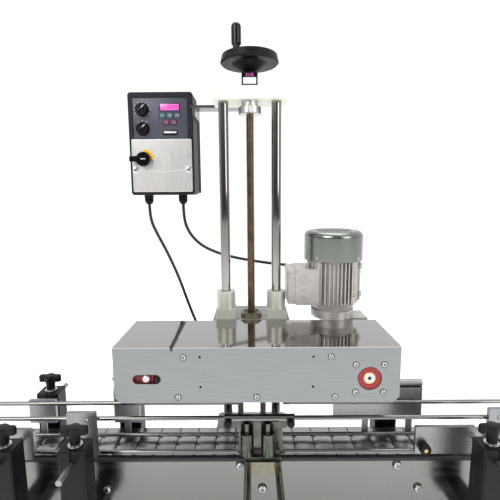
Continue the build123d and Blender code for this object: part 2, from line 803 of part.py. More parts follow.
# rotor, worm and fan are one turning piece on the motor shaft
fan_low = frame_high + 8
with BuildPart() as motor_rotor:
    disc(level(shaft_z - worm_length / 2), motor_x, motor_y, worm_radius, worm_length)
    disc(level(shaft_z), motor_x, motor_y, motor_shaft_radius, fan_low + 22 - shaft_z)
    disc(level(frame_low + 22), motor_x, motor_y, rotor_radius, rotor_length)
    disc(level(fan_low), motor_x, motor_y, fan_radius, 3)
    with BuildSketch(level(fan_low + 3)):
        with Locations((motor_x, motor_y)):
            with PolarLocations(fan_radius / 2 + 6, 8):
                Rectangle(fan_radius - 14, 2.5)
            Circle(12)
    extrude(amount=16)
save(motor_rotor, "motor_rotor")

cowl_radius = cowl_diameter / 2
cowl_top = frame_high + cowl_length
vent_pitch = 9
with BuildPart() as fan_cowl:
    disc(level(frame_high), motor_x, motor_y, cowl_radius, cowl_length)
    fillet(fan_cowl.faces().sort_by(Axis.Z)[-1].edges(), radius=12)
    offset(amount=-cowl_sheet, openings=fan_cowl.faces().sort_by(Axis.Z)[0])
    with BuildSketch(level(cowl_top)):
        with Locations((motor_x, motor_y)):
            with HexLocations(vent_pitch / 2, 9, 9):
                RegularPolygon(3.4, 6)
            Circle(cowl_radius - 18, mode=Mode.INTERSECT)
    extrude(amount=-2 * cowl_sheet, mode=Mode.SUBTRACT)
    # three tabs reach in from the rim to the frame's bosses
    with BuildSketch(level(frame_high)):
        with Locations((motor_x, motor_y)):
            with PolarLocations(frame_radius + 8.5, 4, start_angle=45):
                Rectangle(11, 8)
    extrude(amount=cowl_sheet)
save(fan_cowl, "fan_cowl")

# ---------------------------------------------------------------- guide rails and their brackets
post_offset = side_outer + post_stand
post_front_y = lane_middle - post_offset
post_rear_y = lane_middle + post_offset
front_posts = (-415, -296, 393)
rear_posts = (-431, -260, 278)
rail_r = rail_diameter / 2
low_z = deck + rail_low
high_z = deck + rail_high
rod_z = deck + bracket_rod_height
rod_r = bracket_rod / 2
sleeve_left = sleeve_x - sleeve_length / 2
sleeve_right = sleeve_x + sleeve_length / 2
lane_left = -lane_gap
lane_right = 2 * lane_gap


def rail(x0, x1, y, z):
    """A round rail along the conveyor with broken ends."""
    disc(side_plane(x0), y, z, rail_r, x1 - x0)


with BuildPart() as front_rails:
    rail(-rail_reach, rail_reach - 47, rail_front_y, high_z)
    disc(side_plane(sleeve_left), rail_front_y, high_z, sleeve_diameter / 2, sleeve_length)
    rail(front_posts[0], lane_left, rail_front_y, low_z)
    rail(lane_right, front_posts[2], rail_front_y, low_z)
save(front_rails, "front_rails")

with BuildPart() as rear_rails:
    rail(-rail_reach, lane_left, rail_rear_y, high_z)
    rail(lane_right, rail_reach, rail_rear_y, high_z)
    rail(rear_posts[0], lane_left, rail_rear_y, low_z)
    rail(lane_right, front_posts[2], rail_rear_y, low_z)
save(rear_rails, "rear_rails")

# front rail plates with their bracket rods; the guide plate and its two round posts at the
# capping point hang under the sleeve
plate_front_y = rail_front_y - rail_r - plate_thickness
front_rod_end = plate_front_y - 116
guide_sheet = 3
guide_y = rail_front_y + sleeve_diameter / 2
with BuildPart() as front_rail_plates:
    for x0, width, z0, z1 in (
        (front_posts[0] - 40, front_plate_width, 3, 62),
        (front_posts[1] - 40, front_plate_width, 7, 94),
        (front_posts[2] - 101, 108, 12, 64),
        (front_posts[2] + 28, front_plate_width, 7, 98),
    ):
        block(x0, x0 + width, plate_front_y, plate_front_y + plate_thickness, deck + z0, deck + z1)
    fillet(front_rail_plates.edges().filter_by(Axis.Y), radius=1.5)
    for x in front_posts:
        disc(front_plane(front_rod_end), x, rod_z, rod_r, front_rod_end - plate_front_y)
    block(sleeve_left, sleeve_right, guide_y, guide_y + guide_sheet, deck + 54, high_z)
    block(sleeve_x - 38, sleeve_x + 42, guide_y, guide_y + guide_sheet, deck + 8, deck + 54)
    for x in (roller_x - roller_spacing / 2, roller_x + roller_spacing / 2):
        disc(level(deck + 9), x, guide_y - roller_diameter / 2, roller_diameter / 2, roller_length)
        disc(level(deck + 9 + roller_length), x, guide_y - roller_diameter / 2, roller_pin / 2,
             high_z - sleeve_diameter / 2 - deck - 9 - roller_length)
save(front_rail_plates, "front_rail_plates")

plate_rear_y = rail_rear_y + rail_r
rear_rod_end = post_rear_y + 65
bar_diameter = 14
with BuildPart() as rear_rail_plates:
    for x0, x1, z0, z1 in (
        (rear_posts[0] - 12, rear_posts[0] + 40, 33, 80),
        (rear_posts[1] - 15, rear_posts[1] + 35, 33, 100),
        (rear_posts[2] - 120, rear_posts[2] + 6, 38, 80),
        (rear_posts[2] + 6, rear_posts[2] + 53, 38, 104),
    ):
        block(x0, x1, plate_rear_y, plate_rear_y + plate_thickness, deck + z0, deck + z1)
        middle = (x0 + x1) / 2
        block(middle - 6, middle + 6, plate_rear_y, plate_rear_y + 3, deck + rail_low - rail_r, deck + z0)
    disc(side_plane(rear_posts[2] - 14), plate_rear_y + bar_diameter / 2, deck + 111, bar_diameter / 2, 67)
    for x in rear_posts:
        disc(front_plane(rear_rod_end), x, rod_z, rod_r, rear_rod_end - plate_rear_y)
save(rear_rail_plates, "rear_rail_plates")

# moulded bracket posts: a column with a split head that grips the bracket rod, and an arm
# bolted to the side channel
post_foot = 60
post_head = deck + post_top
knob_screw = 8
post_places = [(x, post_front_y) for x in front_posts] + [(x, post_rear_y) for x in rear_posts]
with BuildPart() as rail_posts:
    for x, y in post_places:
        block(x - post_width / 2, x + post_width / 2, y - post_depth / 2, y + post_depth / 2, post_foot,
              post_head)
    fillet(rail_posts.edges().filter_by(Axis.Z), radius=5)
    fillet(rail_posts.faces().filter_by(Axis.Z).group_by(Axis.Z)[-1].edges(), radius=2)
    for x, y in post_places:
        outward = 1 if y > 0 else -1
        block(x - post_width / 2 + 6, x + post_width / 2 - 6, outward * side_outer, y, post_foot,
              post_foot + 34)
        disc(front_plane(y - post_depth), x, rod_z, rod_r + running, -2 * post_depth, Mode.SUBTRACT)
        block(x - 1, x + 1, y - post_depth / 2, y + post_depth / 2, rod_z, post_head, Mode.SUBTRACT)
        disc(level(rod_z + rod_r + 1), x, y, knob_screw / 2 + clearance, post_head - rod_z, Mode.SUBTRACT)
save(rail_posts, "rail_posts")

# wing knobs: a washer, a tapered hub and two wings, on a screw in the post's head
knob_low = post_head + clearance
knob_height = 34
wing_low = knob_low + 20


def wing_knob(x, y, label):
    """One clamping knob above the bracket post at (x, y)."""
    with BuildPart() as knob:
        disc(level(rod_z + rod_r + 2), x, y, knob_screw / 2, knob_low - rod_z - rod_r)
        disc(level(knob_low), x, y, 12, 2)
        with BuildSketch(level(knob_low + 2)):
            with Locations((x, y)):
                Circle(8)
        with BuildSketch(level(wing_low)):
            with Locations((x, y)):
                Circle(10)
        loft()
        with BuildSketch(level(wing_low)):
            with Locations((x, y)):
                SlotOverall(knob_span, 12)
                Circle(11)
        extrude(amount=knob_height - 20)
        chamfer(knob.faces().sort_by(Axis.Z)[-1].edges(), length=2.5)
    save(knob, label)


for k, (x, y) in enumerate(post_places):
    wing_knob(x, y, f"wing_knob_{k + 1}")

# clamp bar on the front side channel, with two rods through the bed to the column foot
with BuildPart() as clamp_rods:
    middle = sum(clamp_rod_places) / 2
    block(middle - clamp_bar_length / 2, middle + clamp_bar_length / 2, -side_outer - 15,
          -side_outer - strip_overhang, clamp_rod_z - 8, clamp_rod_z + 18)
    fillet(clamp_rods.edges().filter_by(Axis.Y), radius=2)
    for x in clamp_rod_places:
        disc(front_plane(clamp_rod_end), x, clamp_rod_z, clamp_rod_diameter / 2,
             clamp_rod_end - side_outer - clamp_rod_grip)
save(clamp_rods, "clamp_rods")

# ---------------------------------------------------------------- drive controller
drive_low = deck + drive_bottom
drive_high = drive_low + drive_height
drive_left = drive_x - drive_width / 2
drive_right = drive_x + drive_width / 2
front_body = 70
drive_rear_y = drive_front_y + drive_depth
panel_recess = 2
cover_proud = 5
cover_low = drive_low + 7
knob_x = drive_left + 32
speed_z = drive_high - 38
selector_z = drive_high - 80
isolator_z = drive_low + 80
panel_face = drive_front_y + panel_recess
cover_face = drive_front_y - cover_proud
with BuildPart() as drive_housing:
    block(drive_left, drive_right, drive_front_y, drive_front_y + front_body, drive_low, drive_high)
    fillet(drive_housing.edges().filter_by(Axis.Y), radius=7)
    fillet(drive_housing.faces().sort_by(Axis.Y)[0].edges(), radius=2.5)
    block(drive_left + 5, drive_right - 5, drive_front_y + front_body, drive_rear_y, drive_low + 5,
          drive_high - 5)
    # upright cooling grooves down both sides of the heat sink
    for k in range(6):
        y = drive_front_y + front_body + 8 + 13 * k
        for x in (drive_left + 5, drive_right - 11):
            block(x, x + 6, y, y + 8, drive_low, drive_high, Mode.SUBTRACT)
    # the recessed control panel
    block(drive_left + 10, drive_right - 12, drive_front_y, panel_face, drive_high - 103, drive_high - 12,
          Mode.SUBTRACT)
    for z in (speed_z, selector_z):
        disc(front_plane(panel_face), knob_x, z, 3 + running, -6, Mode.SUBTRACT)
    disc(front_plane(drive_front_y), knob_x + 2, isolator_z, 5 + running, -6, Mode.SUBTRACT)
save(drive_housing, "drive_housing")

with BuildPart() as drive_cover:
    block(drive_left + 6, drive_right - 4, cover_face, drive_front_y, cover_low, cover_low + cover_share)
    fillet(drive_cover.edges().filter_by(Axis.Y), radius=4)
    fillet(drive_cover.faces().sort_by(Axis.Y)[0].edges(), radius=1.5)
    disc(front_plane(cover_face), knob_x + 2, isolator_z, 5 + clearance, -cover_proud, Mode.SUBTRACT)
save(drive_cover, "drive_cover")

small_knob_radius = 13
small_knob_height = 12
knob_gap = 0.4
for label, z in (("speed_knob", speed_z), ("selector_knob", selector_z)):
    with BuildPart() as small_knob:
        disc(front_plane(panel_face - knob_gap), knob_x, z, small_knob_radius, small_knob_height)
        fillet(small_knob.faces().sort_by(Axis.Y)[0].edges(), radius=1.5)
        disc(front_plane(panel_face - knob_gap), knob_x, z, 3, -5)
    save(small_knob, label)

# isolator: a round grip with a lever that points left when off
isolator_x = knob_x + 2
with BuildPart() as isolator_handle:
    disc(front_plane(cover_face - knob_gap), isolator_x, isolator_z, 16, 10)
    disc(front_plane(cover_face - knob_gap), isolator_x, isolator_z, 5, -cover_proud - 5)
    block(isolator_x - 29, isolator_x + 10, cover_face - 18, cover_face - 10, isolator_z - 6, isolator_z + 6)
    fillet(isolator_handle.edges().filter_by(Axis.Y).group_by(Axis.X)[0], radius=3)
save(isolator_handle, "isolator_handle")

gland_places = (drive_x - 40.5, drive_x + 40.5)
gland_y = drive_front_y + 30
gland_length = 22
cable_r = cable_diameter / 2
with BuildPart() as cable_glands:
    for x in gland_places:
        disc(level(drive_low), x, gland_y, gland_diameter / 2, -10)
        disc(level(drive_low - 10), x, gland_y, gland_diameter / 2 - 2, -gland_length + 10)
    fillet(cable_glands.faces().group_by(Axis.Z)[0].edges(), radius=3)
save(cable_glands, "cable_glands")

# flat steel arm from the back of the top plate to the controller's right side
arm_sheet = 6
top_plate_left = column_x - top_plate_width / 2
top_plate_rear = top_plate_front + top_plate_depth
with BuildPart() as drive_arm:
    block(drive_right + arm_sheet, top_plate_left + 50, top_plate_rear, top_plate_rear + 40, top_low,
          top_low + arm_sheet)
    block(top_plate_left + 4, top_plate_left + 50, top_plate_rear, top_plate_rear + arm_sheet, top_low,
          top_high - 3)
    block(drive_right, drive_right + arm_sheet, drive_front_y - 10, drive_front_y + front_body - 6,
          top_low - 10, top_low + 16)
    block(drive_right, drive_right + 2 * arm_sheet, top_plate_rear, top_plate_rear + 40, top_low,
          top_low + arm_sheet)
save(drive_arm, "drive_arm")

# ---------------------------------------------------------------- cables
# routes as points from one end to the other; each corner takes the largest arc its runs allow


def corner_radii(points):
    """The arc radius at each inner point of a route."""
    spots = [Vector(*p) for p in points]
    radii = []
    for before, here, after in zip(spots, spots[1:], spots[2:]):
        turn = radians((here - before).get_angle(after - here))
        shorter = min((here - before).length, (after - here).length)
        radii.append(0.45 * shorter / tan(turn / 2))
    return radii


def cable(points, label):
    """A round cable of one diameter swept along straight runs joined by tangent arcs."""
    radii = corner_radii(points)
    with BuildPart() as tube:
        with BuildLine():
            route = FilletPolyline(*points, radius=radii)
        with BuildSketch(Plane(origin=route @ 0, z_dir=route % 0)):
            Circle(cable_r)
        sweep()
    share = tube.part.volume / (pi * cable_r**2 * route.length)
    print(label, "length", round(route.length), "radii", [round(r) for r in radii],
          "volume share", round(share, 3))
    save(tube, label)


gland_low = drive_low - gland_length
motor_route = [
    (gland_places[1], gland_y, gland_low),
    (gland_places[1], gland_y, deck + 422),
    (gland_places[1] + 13, 228, deck + 388),
    (gland_places[1] + 40, 224, deck + 360),
    (gland_places[1] + 78, 220, deck + 342),
    (gland_places[1] + 122, 217, deck + 330),
    (gland_places[1] + 170, 219, deck + 321),
    (gland_places[1] + 212, 223, deck + 314),
    (terminal_gland_x - 23, 223, terminal_gland_z + 1),
    (terminal_gland_x, terminal_rear + terminal_gland_length + 32, terminal_gland_z),
    (terminal_gland_x, terminal_rear + terminal_gland_length, terminal_gland_z),
]
cable(motor_route, "motor_cable")

coil_x = -165
coil_inner = 31
coil_outer = 45
coil_y = 186 + coil_outer - cable_r
coil_tangent = 18         # where a cable along the coil's edge meets its outside
coil_height = 21
lead_route = [
    (gland_places[0], gland_y, gland_low),
    (gland_places[0], gland_y, deck + 424),
    (gland_places[0] + 16, 228, deck + 388),
    (gland_places[0] + 44, 222, deck + 336),
    (gland_places[0] + 70, 215, deck + 277),
    (gland_places[0] + 89, 209, deck + 222),
    (gland_places[0] + 111, 204, deck + 166),
    (gland_places[0] + 135, 201, deck + 108),
    (gland_places[0] + 157, 199, deck + 50),
    (gland_places[0] + 175, 198, deck - 6),
    (gland_places[0] + 184, 198, deck - 56),
    (gland_places[0] + 184, 196, deck - 102),
    (gland_places[0] + 171, 192, deck - 138),
    (gland_places[0] + 143, 187, 8),
    (gland_places[0] + 120, 186, 4),
    (coil_x + coil_tangent, 186, 4),
]
cable(lead_route, "mains_lead")

with BuildPart() as mains_coil:
    disc(level(0), coil_x, coil_y, coil_outer, coil_height)
    disc(level(0), coil_x, coil_y, coil_inner, coil_height, Mode.SUBTRACT)
    fillet(mains_coil.edges(), radius=3)
save(mains_coil, "mains_coil")

# plug left of the coil, with a long tail that the coil's last turn runs into; three flat pins
plug_x = coil_x - coil_tangent
plug_y = coil_y - coil_outer + cable_r
plug_tail = 32
plug_body = 38
plug_half = 18
plug_height = 24
pin_length = 17
with BuildPart() as mains_plug:
    plug_face = plug_x - plug_tail - plug_body
    block(plug_face, plug_x - plug_tail, plug_y - plug_half, plug_y + plug_half, 0, plug_height)
    fillet(mains_plug.edges(), radius=4)
    disc(side_plane(plug_x - plug_tail - 1), plug_y, coil_height / 2, 5, plug_tail + 1)
    for dy, z in ((-8, 15), (8, 15), (0, 7)):
        block(plug_face - pin_length, plug_face + 2, plug_y + dy - 0.8, plug_y + dy + 0.8, z - 3, z + 3)
save(mains_plug, "mains_plug")
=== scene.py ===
# %% [markdown]
# # A belt-press capping machine
# A capping head hangs on a two-rod column over a conveyor bed. Filled bottles ride in on the
# chain and a toothed belt inside the head presses their caps down. The solid parts come from a
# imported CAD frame, in metres and in the right places. This file gives each of them the finish of
# the real material, and models the pieces that are mostly surface: chain plates, button screws,
# knobs, printed panels, belt teeth and the two cables.

# %% Load the frame
import json
from math import cos, pi, radians, sin, tau

import bmesh
import bpy
from mathutils import Matrix, Vector

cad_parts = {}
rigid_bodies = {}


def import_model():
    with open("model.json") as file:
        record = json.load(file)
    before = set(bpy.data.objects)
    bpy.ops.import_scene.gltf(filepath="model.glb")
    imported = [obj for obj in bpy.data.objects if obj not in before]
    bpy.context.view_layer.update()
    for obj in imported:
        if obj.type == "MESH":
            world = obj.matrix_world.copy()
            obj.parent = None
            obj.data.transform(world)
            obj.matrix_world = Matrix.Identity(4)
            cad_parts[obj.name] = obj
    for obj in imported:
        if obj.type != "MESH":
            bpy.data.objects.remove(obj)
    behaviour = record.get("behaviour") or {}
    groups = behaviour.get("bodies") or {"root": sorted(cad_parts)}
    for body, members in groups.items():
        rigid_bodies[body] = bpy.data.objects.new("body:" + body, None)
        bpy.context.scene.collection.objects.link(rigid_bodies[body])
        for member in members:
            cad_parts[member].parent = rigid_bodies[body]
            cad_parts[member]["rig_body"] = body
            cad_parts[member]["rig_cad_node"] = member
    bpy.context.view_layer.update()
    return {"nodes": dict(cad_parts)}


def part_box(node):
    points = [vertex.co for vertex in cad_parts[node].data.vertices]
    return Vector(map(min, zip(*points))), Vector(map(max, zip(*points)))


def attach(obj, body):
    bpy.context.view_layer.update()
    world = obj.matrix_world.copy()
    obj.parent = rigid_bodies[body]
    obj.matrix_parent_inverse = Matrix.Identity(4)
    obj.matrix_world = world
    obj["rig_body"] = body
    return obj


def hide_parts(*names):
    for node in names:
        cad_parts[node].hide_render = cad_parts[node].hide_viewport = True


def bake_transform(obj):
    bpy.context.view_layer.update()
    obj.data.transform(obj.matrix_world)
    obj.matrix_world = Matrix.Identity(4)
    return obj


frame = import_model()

MM = 0.001
scene = bpy.context.scene
scene.view_settings.view_transform = "Standard"
nodes = frame["nodes"]


def deselect():
    """Nothing selected and nothing in edit mode, so that the next operator acts on one piece only."""
    if bpy.context.object and bpy.context.object.mode == "EDIT":
        bpy.ops.object.mode_set(mode="OBJECT")
    bpy.ops.object.select_all(action="DESELECT")


def pick(piece):
    """Selects one object and makes it active."""
    deselect()
    bpy.context.view_layer.objects.active = piece
    piece.select_set(True)


def settle(piece):
    """Puts a piece's place into its mesh, so that its object stands at the origin, unturned."""
    pick(piece)
    bpy.ops.object.transform_apply(location=True, rotation=True, scale=True)
    return piece


def use(piece, kind, **settings):
    """Adds a modifier with its settings and applies it."""
    pick(piece)
    modifier = piece.modifiers.new(kind.title(), kind)
    for name, value in settings.items():
        setattr(modifier, name, value)
    bpy.ops.object.modifier_apply(modifier=modifier.name)
    return piece


def join(pieces, name):
    """Joins pieces into the first one and gives it a name."""
    deselect()
    for piece in pieces:
        piece.select_set(True)
    bpy.context.view_layer.objects.active = pieces[0]
    bpy.ops.object.join()
    pieces[0].name = name
    return pieces[0]


def smooth(piece, angle=35):
    """Shades a piece smooth, except where its faces meet more sharply than the angle."""
    pick(piece)
    bpy.ops.object.shade_smooth_by_angle(angle=radians(angle))
    return piece


# %% [markdown]
# ## The camera and the two cables
# The camera stands in front of the machine a little over the head's height and looks down a few
# degrees. The cables come next. A cable is one smooth curve: its points are the control points of a
# quadratic spline, which rounds every corner by itself.

# %% Camera
pitch, turn, roll = 0.1404, 0.0051, 0.0073
view = bpy.data.cameras.new("front_view")
view.sensor_width = 36
view.lens = 28.23
camera = bpy.data.objects.new("front_view", view)
scene.collection.objects.link(camera)
camera.matrix_world = (
    Matrix.Translation((-0.0006, -0.7132, 0.6495))
    @ Matrix.Rotation(turn, 4, "Z")
    @ Matrix.Rotation(pi / 2 - pitch, 4, "X")
    @ Matrix.Rotation(-roll, 4, "Z")
)
scene.camera = camera

# %% Cable routes
cable_diameter = 7 * MM
glands_low, glands_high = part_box("cable_glands")
gland_x = (glands_low.x / MM + 11, glands_high.x / MM - 11)
gland_y = (glands_low.y + glands_high.y) / 2 / MM
gland_z = glands_low.z / MM
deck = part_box("chain")[1].z / MM


def smooth_line(name, points):
    """A quadratic spline through a cable's control points, given in millimetres."""
    curve = bpy.data.curves.new(name, "CURVE")
    curve.dimensions = "3D"
    line = curve.splines.new("NURBS")
    line.points.add(len(points) - 1)
    for spot, (x, y, z) in zip(line.points, points):
        spot.co = (x * MM, y * MM, z * MM, 1)
    line.order_u = 3
    line.use_endpoint_u = True
    line.resolution_u = 10
    made = bpy.data.objects.new(name, curve)
    scene.collection.objects.link(made)
    return made


def spots_of(line):
    """The points of a smooth line, read from the curve before it has any thickness."""
    bare = bpy.data.meshes.new_from_object(line)
    return [v.co.copy() for v in bare.vertices]


def tube(line, diameter):
    """Gives a smooth line its round section."""
    line.data.bevel_depth = diameter / 2
    line.data.bevel_resolution = 5
    line.data.use_fill_caps = True
    return line


# %% [markdown]
# The mains lead drops from the left gland behind the head to the floor, where its spare length
# lies behind the bed in a round coil, two turns wide and three high. The coil is part of the same
# spline: each turn keeps to its own lane and changes lane on one short stretch.

# %% Mains lead and its coil
coil_low, coil_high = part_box("mains_coil")
coil_x = (coil_low.x + coil_high.x) / 2 / MM
coil_y = (coil_low.y + coil_high.y) / 2 / MM
outer = (coil_high.x - coil_low.x) / 2 / MM - 3.5
inner = outer - 7
lanes = [(outer, 3.6), (inner, 3.6), (inner, 10.5), (inner, 17.4), (outer, 17.4), (outer, 10.5)]
lead_points = [
    (gland_x[0], gland_y, gland_z),
    (gland_x[0], gland_y, deck + 424),
    (gland_x[0] + 16, 228, deck + 388),
    (gland_x[0] + 44, 222, deck + 336),
    (gland_x[0] + 70, 215, deck + 277),
    (gland_x[0] + 89, 209, deck + 222),
    (gland_x[0] + 111, 204, deck + 166),
    (gland_x[0] + 135, 201, deck + 108),
    (gland_x[0] + 157, 199, deck + 50),
    (gland_x[0] + 175, 198, deck - 6),
    (gland_x[0] + 184, 198, deck - 56),
    (gland_x[0] + 184, 196, deck - 102),
    (gland_x[0] + 171, 192, deck - 138),
    (gland_x[0] + 143, 187, 8),
    (gland_x[0] + 120, 186, 4),
]
steps_a_turn = 16
for lane, (radius, height) in enumerate(lanes):
    new_radius, new_height = lanes[min(lane + 1, len(lanes) - 1)]
    for step in range(steps_a_turn):
        share = max(0, (step - steps_a_turn + 7) / 7)
        share = share * share * (3 - 2 * share)
        r = radius + (new_radius - radius) * share
        z = height + (new_height - height) * share
        angle = -pi / 2 - tau * step / steps_a_turn
        lead_points.append((coil_x + r * cos(angle), coil_y + r * sin(angle), z))
plug_low, plug_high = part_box("mains_plug")
plug_y = (plug_low.y + plug_high.y) / 2 / MM
lead_points.append((coil_x, plug_y, 10.5))
lead_points.append((plug_high.x / MM - 12, plug_y, 10.5))
lead_line = smooth_line("mains_flex", lead_points)
lead_spots = spots_of(lead_line)
tube(lead_line, cable_diameter)
pick(lead_line)
bpy.ops.object.convert(target="MESH")
mains_flex = bpy.context.object
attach(mains_flex, "frame")
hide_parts("mains_lead", "mains_coil")

# %% [markdown]
# The motor cable goes from the right gland down and across the back to the motor's terminal box.
# The motor travels with the head, so on the machine this cable bends between the frame and the head.
# The tube is turned into a mesh once its line has been measured.

# %% Motor cable
terminal_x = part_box("motor_cable")[1].x / MM - 3.5
terminal_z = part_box("motor_body")[0].z / MM + 56
terminal_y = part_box("motor_body")[1].y / MM
motor_points = [
    (gland_x[1], gland_y, gland_z),
    (gland_x[1], gland_y, deck + 422),
    (gland_x[1] + 13, 228, deck + 388),
    (gland_x[1] + 40, 224, deck + 360),
    (gland_x[1] + 78, 220, deck + 342),
    (gland_x[1] + 122, 217, deck + 330),
    (gland_x[1] + 170, 219, deck + 321),
    (gland_x[1] + 212, 223, deck + 314),
    (terminal_x - 23, 223, terminal_z + 1),
    (terminal_x, terminal_y + 32, terminal_z),
    (terminal_x, terminal_y, terminal_z),
]
motor_line = smooth_line("motor_flex", motor_points)
motor_path = spots_of(motor_line)
tube(motor_line, cable_diameter)
pick(motor_line)
bpy.ops.object.convert(target="MESH")
motor_flex = bpy.context.object
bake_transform(motor_flex)
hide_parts("motor_cable")

# %% [markdown]
# ## How a finish is made
# Every material is procedural. Colours are written as the hex values a painter would quote and
# turned to linear light by one function. One function adds a node. Patterns are sized in
# millimetres from object coordinates, which are the machine's own coordinates, because every
# finished piece stands at the origin.

# %% Material helpers


def colour(hex_code):
    """A hex colour as linear light with full opacity."""
    parts = [int(hex_code[i:i + 2], 16) / 255 for i in (1, 3, 5)]
    return tuple(p / 12.92 if p <= 0.04045 else ((p + 0.055) / 1.055) ** 2.4 for p in parts) + (1,)


def add(material, kind, inputs=None, **settings):
    """Adds one node. Settings are its properties; inputs are values, or the outputs that feed it."""
    made = material.node_tree.nodes.new(kind)
    for name, value in settings.items():
        setattr(made, name, value)
    for name, value in (inputs or {}).items():
        if isinstance(value, bpy.types.NodeSocket):
            material.node_tree.links.new(value, made.inputs[name])
        else:
            made.inputs[name].default_value = value
    return made


def finish(name, hex_code, metallic, roughness, **sockets):
    """A material with one principled shader; returns the material and the shader."""
    material = bpy.data.materials.new(name)
    material.use_nodes = True
    shader = material.node_tree.nodes["Principled BSDF"]
    shader.inputs["Base Color"].default_value = colour(hex_code)
    shader.inputs["Metallic"].default_value = metallic
    shader.inputs["Roughness"].default_value = roughness
    for socket, value in sockets.items():
        shader.inputs[socket.replace("_", " ")].default_value = value
    return material, shader


def grain(material, size, stretch=(1, 1, 1), detail=3):
    """A noise whose spots are about size millimetres across, longer along an axis by its stretch."""
    place = add(material, "ShaderNodeTexCoord").outputs["Object"]
    scaled = add(material, "ShaderNodeMapping", {"Vector": place, "Scale": tuple(1 / s for s in stretch)})
    spots = {"Vector": scaled.outputs["Vector"], "Scale": 1 / (size * MM), "Detail": detail}
    return add(material, "ShaderNodeTexNoise", spots).outputs["Fac"]


def spread(material, shader, socket, fac, low, high):
    """Lets a pattern carry a shader's number from low to high."""
    inputs = {"Value": fac, "From Min": 0.3, "From Max": 0.7, "To Min": low, "To Max": high}
    result = add(material, "ShaderNodeMapRange", inputs).outputs["Result"]
    material.node_tree.links.new(result, shader.inputs[socket])


def tint(material, shader, fac, low, high):
    """Lets a pattern carry the colour from one hex value to another."""
    span = {"Value": fac, "From Min": 0.3, "From Max": 0.7}
    share = add(material, "ShaderNodeMapRange", span).outputs["Result"]
    mixed = add(material, "ShaderNodeMix", data_type="RGBA")
    mixed.inputs[6].default_value = colour(low)
    mixed.inputs[7].default_value = colour(high)
    material.node_tree.links.new(share, mixed.inputs[0])
    material.node_tree.links.new(mixed.outputs[2], shader.inputs["Base Color"])


def relief(material, shader, height, depth):
    """Raises a pattern by depth millimetres."""
    inputs = {"Height": height, "Distance": depth * MM, "Strength": 1.0}
    bump = add(material, "ShaderNodeBump", inputs).outputs["Normal"]
    material.node_tree.links.new(bump, shader.inputs["Normal"])


def wear(piece, material):
    """Gives a piece this one material."""
    piece.data.materials.clear()
    piece.data.materials.append(material)
    return piece


# %% [markdown]
# ### Stainless steel, four ways
# The bed's sides and the rails are polished sheet, with soft waves left by folding. The head's two
# plates are brushed along their length: fine lines a few tenths of a millimetre apart, drawn
# somewhat coarser here so that they show. The folded covers are mirror polished and carry only
# faint wipe marks. The chain plates are ground and then scuffed by bottles along the travel.

# %% Stainless finishes
polished_sheet, shader = finish("polished_stainless_sheet", "#7f7e7c", 1, 0.2)
waves = grain(polished_sheet, 70, (2.5, 1, 1), 1)
relief(polished_sheet, shader, waves, 0.35)
spread(polished_sheet, shader, "Roughness", grain(polished_sheet, 9, (6, 1, 1)), 0.16, 0.27)

brushed_plate, shader = finish("brushed_stainless_plate", "#858889", 1, 0.34)
lines = grain(brushed_plate, 0.9, (60, 1, 1), 4)
tint(brushed_plate, shader, lines, "#7f8283", "#8e9192")
spread(brushed_plate, shader, "Roughness", lines, 0.3, 0.42)
relief(brushed_plate, shader, lines, 0.012)

mirror_cover, shader = finish("mirror_stainless_cover", "#a5a3a0", 1, 0.07)
wipes = grain(mirror_cover, 28, (4, 1, 1), 4)
spread(mirror_cover, shader, "Roughness", wipes, 0.05, 0.13)
relief(mirror_cover, shader, grain(mirror_cover, 90, (1, 1, 1), 1), 0.12)

chain_steel, shader = finish("ground_stainless_chain", "#a0a09e", 1, 0.28)
scuffs = grain(chain_steel, 1.6, (25, 1, 1), 4)
tint(chain_steel, shader, scuffs, "#8d8c89", "#b3b3b1")
spread(chain_steel, shader, "Roughness", scuffs, 0.2, 0.4)
relief(chain_steel, shader, scuffs, 0.015)

satin_plate, shader = finish("satin_stainless_plate", "#8e9092", 1, 0.36)
satin = grain(satin_plate, 1.2, (1, 1, 20), 3)
tint(satin_plate, shader, satin, "#86888a", "#97999b")

# the capping point's guide plate, which stands by the middle of the bed, is mirror sheet; its dark
# grey-green colour is a painted reflection
guide_sheet_with_painted_reflection, shader = finish("guide_sheet_painted_reflection", "#55584f", 1, 0.16)
tint(guide_sheet_with_painted_reflection, shader, grain(guide_sheet_with_painted_reflection, 20), "#4b4e48", "#626660")
spread(guide_sheet_with_painted_reflection, shader, "Roughness", grain(guide_sheet_with_painted_reflection, 6), 0.12, 0.24)
dull_steel, shader = finish("dull_clamp_steel", "#7d7a6c", 1, 0.24)
tint(dull_steel, shader, grain(dull_steel, 6), "#737062", "#878474")
spread(satin_plate, shader, "Roughness", satin, 0.3, 0.44)

# %% [markdown]
# ### Other metals
# Hard chrome on the guide rods is nearly a mirror. Turned steel keeps faint rings, which read as a
# fine noise at this size. The guide bushes are light, neutral anodised aluminium.
# The lead screw is bronze coloured and oily. The motor is an aluminium casting: its sand-like skin
# is a small noise in height, and its fan cowl is zinc-plated sheet with an olive cast.

# %% Other metal finishes
hard_chrome, shader = finish("hard_chrome_rod", "#93918c", 1, 0.07)
spread(hard_chrome, shader, "Roughness", grain(hard_chrome, 5, (1, 1, 8)), 0.05, 0.12)

turned_steel, shader = finish("turned_bright_steel", "#bdbdbb", 1, 0.26)
spread(turned_steel, shader, "Roughness", grain(turned_steel, 1.5), 0.2, 0.34)

grey_steel, shader = finish("zinc_primed_steel", "#8d8e8c", 0.7, 0.45)
tint(grey_steel, shader, grain(grey_steel, 14), "#848583", "#979895")
spread(grey_steel, shader, "Roughness", grain(grey_steel, 3), 0.38, 0.52)

anodised, shader = finish("anodised_aluminium", "#c3c3b9", 0.45, 0.4)
tint(anodised, shader, grain(anodised, 2, (1, 1, 6)), "#bcbcb2", "#cbcbc2")
relief(anodised, shader, grain(anodised, 0.8), 0.01)

